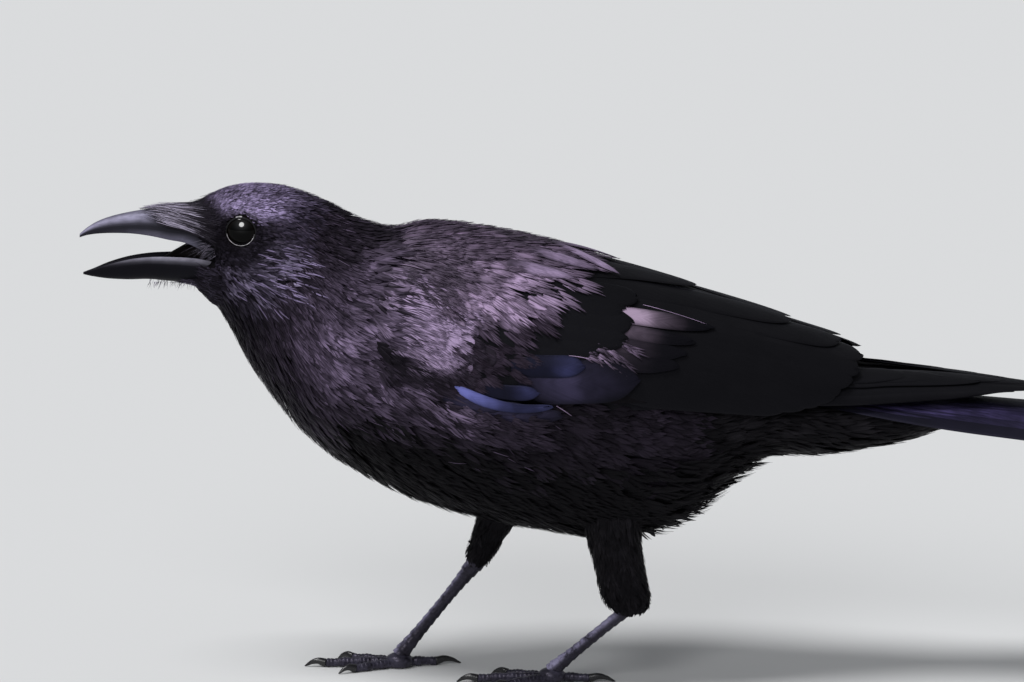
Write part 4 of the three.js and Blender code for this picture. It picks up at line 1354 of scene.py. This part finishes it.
def toe_path(leg, side, toe, steps):
    """Middle line of a toe: out along its bearing, sagging to the floor, with an arch of half a millimetre."""
    bearing = math.radians(toe["bearing"])
    ahead = np.array([-math.cos(bearing), side * math.sin(bearing), 0])
    t = np.linspace(0, 1, steps)[:, None]
    height = toe["radius"] * (0.92 - 0.12 * t) + 0.5 * np.sin(math.pi * t)
    foot = np.array([leg["foot"][0], leg["foot"][1], 0])
    return foot + ahead * (1 + t * (toe["reach"] - 1)) + height * np.array([0, 0, 1]), ahead, t[:, 0]


SOLE = 0.0  # nothing of a foot goes below this height
TARSUS_SCALE, TOE_SCALE = 4.6, 2.1  # length of one scale
SCALE_DEPTH = 0.16  # drop at the edge of a scale, as a share of the radius
TARSUS_BOW = np.array([0.8, 0, 0.8])  # how far the tarsus is bowed in its middle
DARK = 0.08  # tone of the toes and the pads


def scuted(length, pitch, share):
    """Overlapping scales down a leg, as a factor on its radius: each swells in proportion to the share of
    its own length and drops back at its edge."""
    phase = (share * length / pitch) % 1
    return 1 + SCALE_DEPTH * (phase - 0.5) * (phase < 0.93)


def tarsus(leg):
    """A scaly rod from the ankle to the foot, bowed by a parabola, with a painted highlight down its front."""
    ankle, foot = np.array(leg["ankle"], float), np.array(leg["foot"], float)
    share = np.linspace(0, 1, 150)
    line = ankle + (foot - ankle) * share[:, None] + TARSUS_BOW * (4 * share * (1 - share))[:, None]
    radii = stations(np.array(TARSUS_RADII)[:, None], share * (len(TARSUS_RADII) - 1))[:, 0]
    radii = radii * scuted(np.linalg.norm(foot - ankle), TARSUS_SCALE, share)
    # the tone paints a highlight down the front edge
    front = -np.sin(np.linspace(0, TURN, 20, endpoint=False))
    return rods(line, radii, sides=20, flat=1.12, up=(1, 0, 0.3), clip=SOLE,
                tone=0.035 + 0.65 * ramp(front, 0.45, 1.0))


def foot_pad(leg):
    """The pad under the root of the toes: an oval about 7 by 6 millimetres, flattened."""
    x, y, _ = leg["foot"]
    s = np.linspace(-1, 1, 24)
    oval = np.sqrt(np.clip(1 - s ** 2, 0.002, 1))
    line = np.stack([x + 7 * s, y + 0 * s, 3.3 + 0 * s], -1)
    return rods(line, 6 * oval, sides=20, flat=0.72, clip=SOLE, tone=DARK)


def toe_and_claw(leg, side, toe):
    """A toe of scales with a lobed sole under it, both swelling by a cosine at the joints, and a claw that
    tapers as a power of the way left to its tip."""
    reach = toe["reach"]
    path, ahead, t = toe_path(leg, side, toe, 90)
    joints = 1 + 0.09 * np.cos(0.7 * t * reach)
    ending = np.sqrt(np.clip(1 - np.clip((t - 0.93) / 0.07, 0, 1) ** 2, 0.05, 1))
    radii = toe["radius"] * (1 - 0.22 * t) * joints * ending
    lobes = 0.93 + 0.1 * np.cos(1.4 * t * reach)
    scales = rods(path, radii * scuted(reach, TOE_SCALE, t), sides=16, clip=SOLE, tone=DARK)
    sole = rods(path - np.array([0, 0, 0.5]), radii * lobes, sides=12, flat=0.8, clip=SOLE, tone=DARK)
    run = np.linspace(0, 1, 22)
    long = 0.86 * toe["claw"]
    rise = stations(np.array([[2.1], [3.0], [2.3], [0.45]]), run * 3)[:, 0]
    base = path[-1] * [1, 1, 0] + ahead * -0.6
    curve = base + ahead * ((run * 1.02 * long + 0.6 * run)[:, None]) + rise[:, None] * np.array([0, 0, 1])
    claw = rods(curve, 1.7 * (1 - run) ** 0.75 + 0.2, sides=14, flat=1.15, clip=SOLE)
    return scales, sole, claw


def thigh_coat(surface, end, side):
    """A loose fringe round the ankle, and shorter feathers down the thigh. end is the place of the last row."""
    fringe_where = lambda at: once(at) * between(at.t, end - 2.2, end - 0.5, 0.2)
    thigh_where = lambda at: once(at) * (at.t < end - 0.45)
    length = lambda at: np.interp(at.t, (0, end), (15, 7))
    depth = lambda at: np.interp(at.t, (0, end), (2.6, 1.2))
    return [coat(surface, 85 + side, 1.6, 9.0, 0.3, fringe_where, wander=0.35, depth=1.2, lift=1.5, locks=5,
                 fray=0.6, shine=0.4, drift=0.1),
            coat(surface, 81 + side, 4.2, length, 0.4, thigh_where, wander=0.14, depth=depth, lift=0.3, fray=0.4,
                 shine=0.4, drift=0.05)]


for word, side in SIDES.items():
    leg = LEGS[word]
    toe_parts = [toe_and_claw(leg, side, toe) for toe in leg["toes"]]
    parts = [tarsus(leg), foot_pad(leg)] + [part for scales, sole, _ in toe_parts for part in (scales, sole)]
    piece(f"foot_{word}", parts, SCUTE, "leg_scales", f"tarsus_{word}",
          *[f"toe_{toe['name']}_{word}" for toe in leg["toes"]])
    piece(f"claws_{word}", [claw for _, _, claw in toe_parts], CLAW, "claw",
          *[f"claw_{toe['name']}_{word}" for toe in leg["toes"]])
    piece(f"thigh_feathers_{word}", thigh_coat(THIGH[word], len(leg["thigh"]) - 1, side), DULL_SHADED, "plumage",
          f"thigh_{word}")


# ---------------------------------------------------------------- bill and mouth

COLUMNS = 27  # points across the outside of a half of the bill, and as many across its inside
INSIDE_WIDTH = 0.84  # width of the inside, as a share of the outside


def half_bill(rows, upper):
    """One half of the bill: a superellipse over the outside, from edge to edge, and back through a
    parabola inside. The rim is a bell curve of the height over the edge; it swells a little towards the
    corner of the mouth and carries a painted highlight, and so does the upper half's ridge behind the tip."""
    t = np.linspace(0, len(rows) - 1, 90)
    x, crest, edge, half = (column[:, None] for column in stations(rows, t).T)
    turn = np.linspace(math.pi, 0, COLUMNS) if upper else np.linspace(0, math.pi, COLUMNS)
    across, rise = bowed(turn + 0 * x, 2.15 if upper else 2.3)
    rim = np.exp(-(rise / 0.13) ** 2)
    swell = (0.8 if upper else -1.0) * rim * ramp(x, -226, -186)
    height = crest - edge
    y_out = half * across + np.sign(across) * swell
    z_out = edge + height * rise
    q = np.linspace(1, -1, COLUMNS) * (1 if upper else -1)
    y_in = half * INSIDE_WIDTH * q
    z_in = edge + height * ((PALATE if upper else TROUGH) * (1 - q ** 2) + 0.015)
    y, z = np.concatenate([y_out, y_in], 1), np.concatenate([z_out, z_in], 1)
    rings = np.stack([np.broadcast_to(x, y.shape), y, z], -1)
    # painted highlight along the rim, towards the corner of the mouth
    rim_highlight_level, first, last = (0.4, 171, 180) if upper else (0.62, 167, 170)
    rim_highlight = rim_highlight_level * rim * ramp(x, -225, -190) * ramp(-x, first, last)
    # painted highlight along the upper half's ridge
    ridge = (0.72 * between(rise, 0.62, 0.98, 0.2) + 0.02) * ramp(-x, 188, 203) if upper else 0.0
    tone = np.concatenate([rim_highlight + ridge, 0.01 + 0 * y_in], 1)
    return shell(rings, tone=tone[None])


piece("bill_upper_horn", half_bill(BILL_TOP, True), HORN, "bill", "bill_upper")
piece("bill_lower_horn", half_bill(BILL_LOW, False), HORN_BELOW, "bill", "bill_lower")


def tongue():
    """A flat tapering tongue that dips towards its tip."""
    t = np.linspace(0, 1, 40)
    wide = 3.0 * np.sqrt(np.clip(1 - t ** 2.2, 0.004, 1)) * (0.85 + 0.3 * t)
    line = np.stack([-181 - 31 * t, 0 * t, 208.7 - 2.4 * t ** 2], -1)
    return rods(line, wide, sides=20, flat=0.26)


def mouth_wall():
    """The back of the mouth: a dark block that fills the wedge between the two halves of the bill, a
    little inside their edges. Its front slopes up from the floor of the mouth to the palate."""
    x = np.linspace(-193, -166.5, 48)
    edge_and_half = lambda table: [np.interp(x, *np.array(table)[::-1, (0, column)].T) for column in (2, 3)]
    (top, wide), (low, narrow) = edge_and_half(BILL_TOP), edge_and_half(BILL_LOW)
    slope = np.interp(x, (-193, -188, -179.6, -177), (211.2, 214.2, 218.8, 222))
    floor, roof = low - 1.6, np.minimum(slope, top + 1.6)
    half = (np.minimum(wide, narrow) - 1.2) * (0.45 + 0.55 * ramp(x, -193, -180))
    across, rise = bowed(np.linspace(0, TURN, 32, endpoint=False)[None] + 0 * x[:, None], 2.3)
    z = ((floor + roof) / 2)[:, None] + ((roof - floor) / 2)[:, None] * rise
    return shell(np.stack([x[:, None] + 0 * z, half[:, None] * across, z], -1), True)


piece("tongue_skin", tongue(), MOUTH, "mouth", "tongue")
piece("mouth_lining", mouth_wall(), MOUTH, "mouth")


# ---------------------------------------------------------------- eyes and lids

GLOBE = 10.5  # radius of the eyeball
OPENING = 6.85  # radius of the opening of the lids
SEATED = 19.9  # how far out the middle of the opening is
FORWARD = math.radians(10)  # the eyes look out and this much forward
BEHIND = math.sqrt(GLOBE ** 2 - OPENING ** 2)  # from the opening's middle in to the middle of the globe
LID_MIDDLE = EYE + np.array([1.2, 0, 0])  # the opening of the lids is a little behind the middle of the eye


def at_eye(side, back, out, up):
    """A place from the middle of the opening: back along it, out of it and up."""
    x = LID_MIDDLE[0] + back * math.cos(FORWARD) - out * math.sin(FORWARD)
    y = side * (SEATED + back * math.sin(FORWARD) + out * math.cos(FORWARD))
    return np.stack(np.broadcast_arrays(x, y, LID_MIDDLE[2] + up), -1)


def eyeball(side):
    """A globe of rings about the axis of the eye. Its tone is the distance from that axis, as a share of
    the radius, and its shine a soft spot of clear coat where the window's glint falls."""
    turn = np.linspace(0.02, math.pi - 0.02, 48)
    line = at_eye(side, 0 * turn, GLOBE * np.cos(turn) - BEHIND, 0)
    parts = rods(line, GLOBE * np.sin(turn), sides=48)
    middle, front = at_eye(side, 0.0, -BEHIND, 0.0), at_eye(side, 0.0, 1 - BEHIND, 0.0)
    parts["tone"] = np.linalg.norm(np.cross(parts["points"] - middle, front - middle), axis=-1) / GLOBE
    parts["shine"] = spot(parts["points"], LID_MIDDLE[0] + 0.25, LID_MIDDLE[2] + 4.1, 2.8, 2.2)
    return parts


def lid(side, radius, thickness, proud, tone, low=0.0, high=TURN):
    """A ring, or the part of one from low to high, that follows the globe round the opening of the eye,
    proud of it. A part fades out at its ends and is uneven by a cosine of the angle."""
    whole = high - low >= TURN - 0.01
    angle = np.linspace(low, high, 72, endpoint=not whole)
    oval = radius * (1 - 0.04 * np.abs(np.sin(angle)))
    out = np.sqrt(GLOBE ** 2 - oval ** 2) - BEHIND + proud
    line = at_eye(side, oval * np.cos(angle), out, oval * np.sin(angle))
    ends = np.sqrt(np.clip(1 - np.linspace(-1, 1, 72) ** 6, 0.02, 1))
    fade = 1 if whole else ends * (0.85 + 0.3 * np.cos(13 * angle))
    return rods(line, thickness * fade + 0 * angle, sides=10, flat=1.3, up=(0, 1, 0), ring=whole, tone=tone)


for word, side in SIDES.items():
    piece(f"eyeball_{word}", eyeball(side), EYEBALL, "eye", f"eye_{word}")
    rim = lid(side, 7.4, 0.42, proud=0.2, tone=0.01)
    # painted glints: a pale arc along the lower lid, and a pale fold of the upper lid above the eye
    lower_lid_glint = lid(side, OPENING, 0.11, proud=0.85, tone=0.9, low=math.pi * 1.03, high=math.pi * 1.97)
    brow = lid(side, 7.8, 0.42, proud=0.5, tone=0.5, low=math.pi * 0.47, high=math.pi * 0.61)
    piece(f"eyelids_{word}", [rim, lower_lid_glint, brow], LID, "plumage")


# ---------------------------------------------------------------- bristles

def aimed(surface, t, a, length, turn):
    """Starts at (t, a) and ends length millimetres on, turned from the lie of t towards +a."""
    _, _, along, around = surface.at(t, a)
    end = np.stack([t + length * np.cos(turn) / along, a + length * np.sin(turn) / around], -1)
    return np.stack([t, a], -1), end


BRISTLE_SHAPE = dict(outline=hair_tip, sides=4, root=-1.0, rise=0.8, camber=0.15, thick=0.15)


def nasal_bristles():
    """Stiff hairs laid forward over the base of the bill, sweeping up from the lores to the culmen. Bundles
    of pale ones follow a sine of the angle less the way forward, and a few strays stand out."""
    made = []
    count = 1000
    for word, side in SIDES.items():
        rng = np.random.default_rng(91 + side)
        t = 0.6 + rng.random(count) ** 0.9 * 5.2
        a = rng.random(count) ** 0.85 * 1.55 + 0.02
        reach = np.interp(t, (0, 3, 4.5, 6), (10, 19, 18, 13)) * (0.75 + 0.35 * rng.random(count))
        sweep = np.interp(a, (0, 0.7, 1.1, 1.5), (0.14, 0.36, 0.22, 0.04)) * np.interp(t, (0, 3), (0.5, 1))
        turn = sweep + rng.normal(0, 0.03, count)
        start, end = aimed(HOOD_ARCH[word], t, a, reach, turn)
        stray = rng.random(count) ** 8
        pale = np.sin(46 * (a - 0.09 * t) + 0.9 * rng.normal(0, 1, count)) > 0.25
        height = 0.05 + 0.3 * rng.random(count) + 0.4 * pale + 1.6 * stray
        bend = rng.normal(0, 0.02, count)
        tone = np.where(pale, 0.95, 0.1) * (0.8 + 0.2 * rng.random(count))
        # shine paints sheen on the bristles, rising forwards from the lores
        made.append(vanes(HOOD_ARCH[word], start, end, 0.6 - 0.2 * pale, rng=rng, rows=6, tip=height, bend=bend,
                          shine=ramp(t, 2.0, 4.4) + 0.02, tone=tone, **BRISTLE_SHAPE))
    return made


def jaw_bristles():
    """Short soft hairs that lead from the chin and jaw forward on to the lower half of the bill."""
    made = []
    count = 850
    for word, side in SIDES.items():
        rng = np.random.default_rng(96 + side)
        a = rng.random(count) * 1.56 - 0.02
        t = 0.2 + rng.random(count) ** 1.7 * np.interp(a, (0.4, 1.2), (2.0, 4.6))
        reach = np.interp(t, (0, 3, 5), (8, 6.5, 4.5)) * (0.7 + 0.5 * rng.random(count))
        start, end = aimed(JAW_ARCH[word], t, a, reach, 0.12 + rng.normal(0, 0.2, count))
        height = 0.3 + 0.5 * rng.random(count)
        bend = rng.normal(0, 0.06, count)
        tone = rng.random(count) ** 1.5
        # shine paints sheen on the hairs, brighter forwards and higher up
        made.append(vanes(JAW_ARCH[word], start, end, 0.6, rng=rng, rows=5, tip=height, bend=bend,
                          shine=0.1 + 0.3 * ramp(t, 1.5, 3) * ramp(a, 0.6, 1.2), tone=tone, **BRISTLE_SHAPE))
    return made


def free_hairs(seed, count, low, high, heading, spread, length, droop, radius):
    """Hairs that stand free: from places between two corners, out along a heading, and bending down by
    droop times the square of the share along them."""
    rng = np.random.default_rng(seed)
    root = low + rng.random((count, 3)) * (high - low)
    way = unit(heading + rng.normal(0, spread, (count, 3)))
    s = np.linspace(0, 1, 6)[None, :, None]
    size = (length * (0.6 + 0.5 * rng.random(count)))[:, None, None]
    path = root[:, None] + way[:, None] * size * s + np.array([0, 0, -droop]) * size * s ** 2
    return rods(path, radius * (1 - 0.85 * s[..., 0]) + 0 * path[..., 0], sides=4, up=(0.1, 0.2, 1),
                tone=rng.random(count)[:, None, None], shine=0.6)


# Free hairs of the face: seed, number of hairs, two corners of the place they grow from, their heading,
# all as x, outwards and z, and then their spread, length, droop and radius
FREE_HAIRS = [
    # long ones across the corner of the mouth, short ones there, and the fringe of the chin
    (101, 9, (-175, 10.8, 216), (-166, 13.4, 223), (-1, 0.05, -0.4), 0.16, 15, 0.08, 0.075),
    (108, 90, (-172.5, 10.9, 213.5), (-166.5, 12.6, 221.5), (-1, 0.06, -0.45), 0.25, 5.0, 0.1, 0.11),
    (104, 60, (-200, 1, 199.4), (-174, 7.5, 199.6), (-0.35, 0.15, -1), 0.3, 3.6, 0.1, 0.12),
]


def face_hairs():
    """The table's hairs, on either side."""
    made = []
    for side in SIDES.values():
        for seed, count, *places, spread, length, droop, radius in FREE_HAIRS:
            low, high, heading = np.array(places) * (1, side, 1)
            made.append(free_hairs(seed + side, count, low, high, heading, spread, length, droop, radius))
    return made


piece("nasal_bristles", nasal_bristles(), BRISTLE, "plumage")
piece("jaw_bristles", jaw_bristles(), HEAD_COAT, "plumage")
piece("face_bristles", face_hairs(), BRISTLE, "plumage")


# ---------------------------------------------------------------- stage, light and camera

FLOOR_RADIUS = 12.0  # in metres
FLOOR_COLOUR = (0.66, 0.665, 0.67)
LENS, SENSOR = 360.4, 36  # focal length and width of the camera's sensor, in millimetres
AIM = np.array([-23.4, 0, 169.1])  # what the camera looks at, in the bird's own millimetres
DISTANCE = 5.0  # from there to the camera, in metres
LOOKING_DOWN = math.radians(12)
# Suns: name, strength, spread in degrees, and the way they shine from
SUNS = [("key", 2.35, 22, (-0.33, -0.2, 0.92)), ("window", 0.9, 26, (-0.21, -0.8, 0.56))]
SKY_COLOUR = (0.93, 0.96, 1.0)
SKY_STRENGTH = 0.24


def pale_ground():
    """A wide round floor, flat at the level of the soles."""
    angle = np.linspace(0, TURN, 96, endpoint=False)
    rim = np.stack([np.cos(angle), np.sin(angle), 0 * angle], -1) * FLOOR_RADIUS
    mesh = bpy.data.meshes.new("floor")
    mesh.from_pydata(rim.tolist(), [], [list(range(len(rim)))])
    floor = bpy.data.objects.new("floor", mesh)
    bpy.context.scene.collection.objects.link(floor)
    material, tree, shader = new_material("floor")
    feed(tree, shader, {"Base Color": (*FLOOR_COLOUR, 1), "Roughness": 0.9, "Specular IOR Level": 0.1})
    mesh.materials.append(material)


def sun(name, strength, spread, way):
    """A broad white sun that shines from the way given."""
    data = bpy.data.lights.new(name, "SUN")
    data.energy, data.angle = strength, math.radians(spread)
    obj = bpy.data.objects.new(name, data)
    bpy.context.scene.collection.objects.link(obj)
    obj.rotation_euler = Vector(way).to_track_quat("Z", "Y").to_euler()


def camera():
    """A long lens from the bird's left, a little above its back."""
    data = bpy.data.cameras.new("camera")
    data.lens, data.sensor_width, data.clip_end = LENS, SENSOR, 50
    obj = bpy.data.objects.new("camera", data)
    bpy.context.scene.collection.objects.link(obj)
    aim = Vector(SHIFT + AIM * MM)
    obj.location = aim + DISTANCE * Vector((0, -math.cos(LOOKING_DOWN), math.sin(LOOKING_DOWN)))
    obj.rotation_euler = (aim - obj.location).to_track_quat("-Z", "Y").to_euler()
    bpy.context.scene.camera = obj


def room():
    """Plain soft light from all round."""
    world = bpy.data.worlds.new("room")
    bpy.context.scene.world = world
    world.use_nodes = True
    tree = world.node_tree
    feed(tree, tree.nodes["Background"], {"Color": (*SKY_COLOUR, 1), "Strength": SKY_STRENGTH})


pale_ground()
camera()
for row in SUNS:
    sun(*row)
room()
bpy.context.scene.view_settings.view_transform = "Standard"
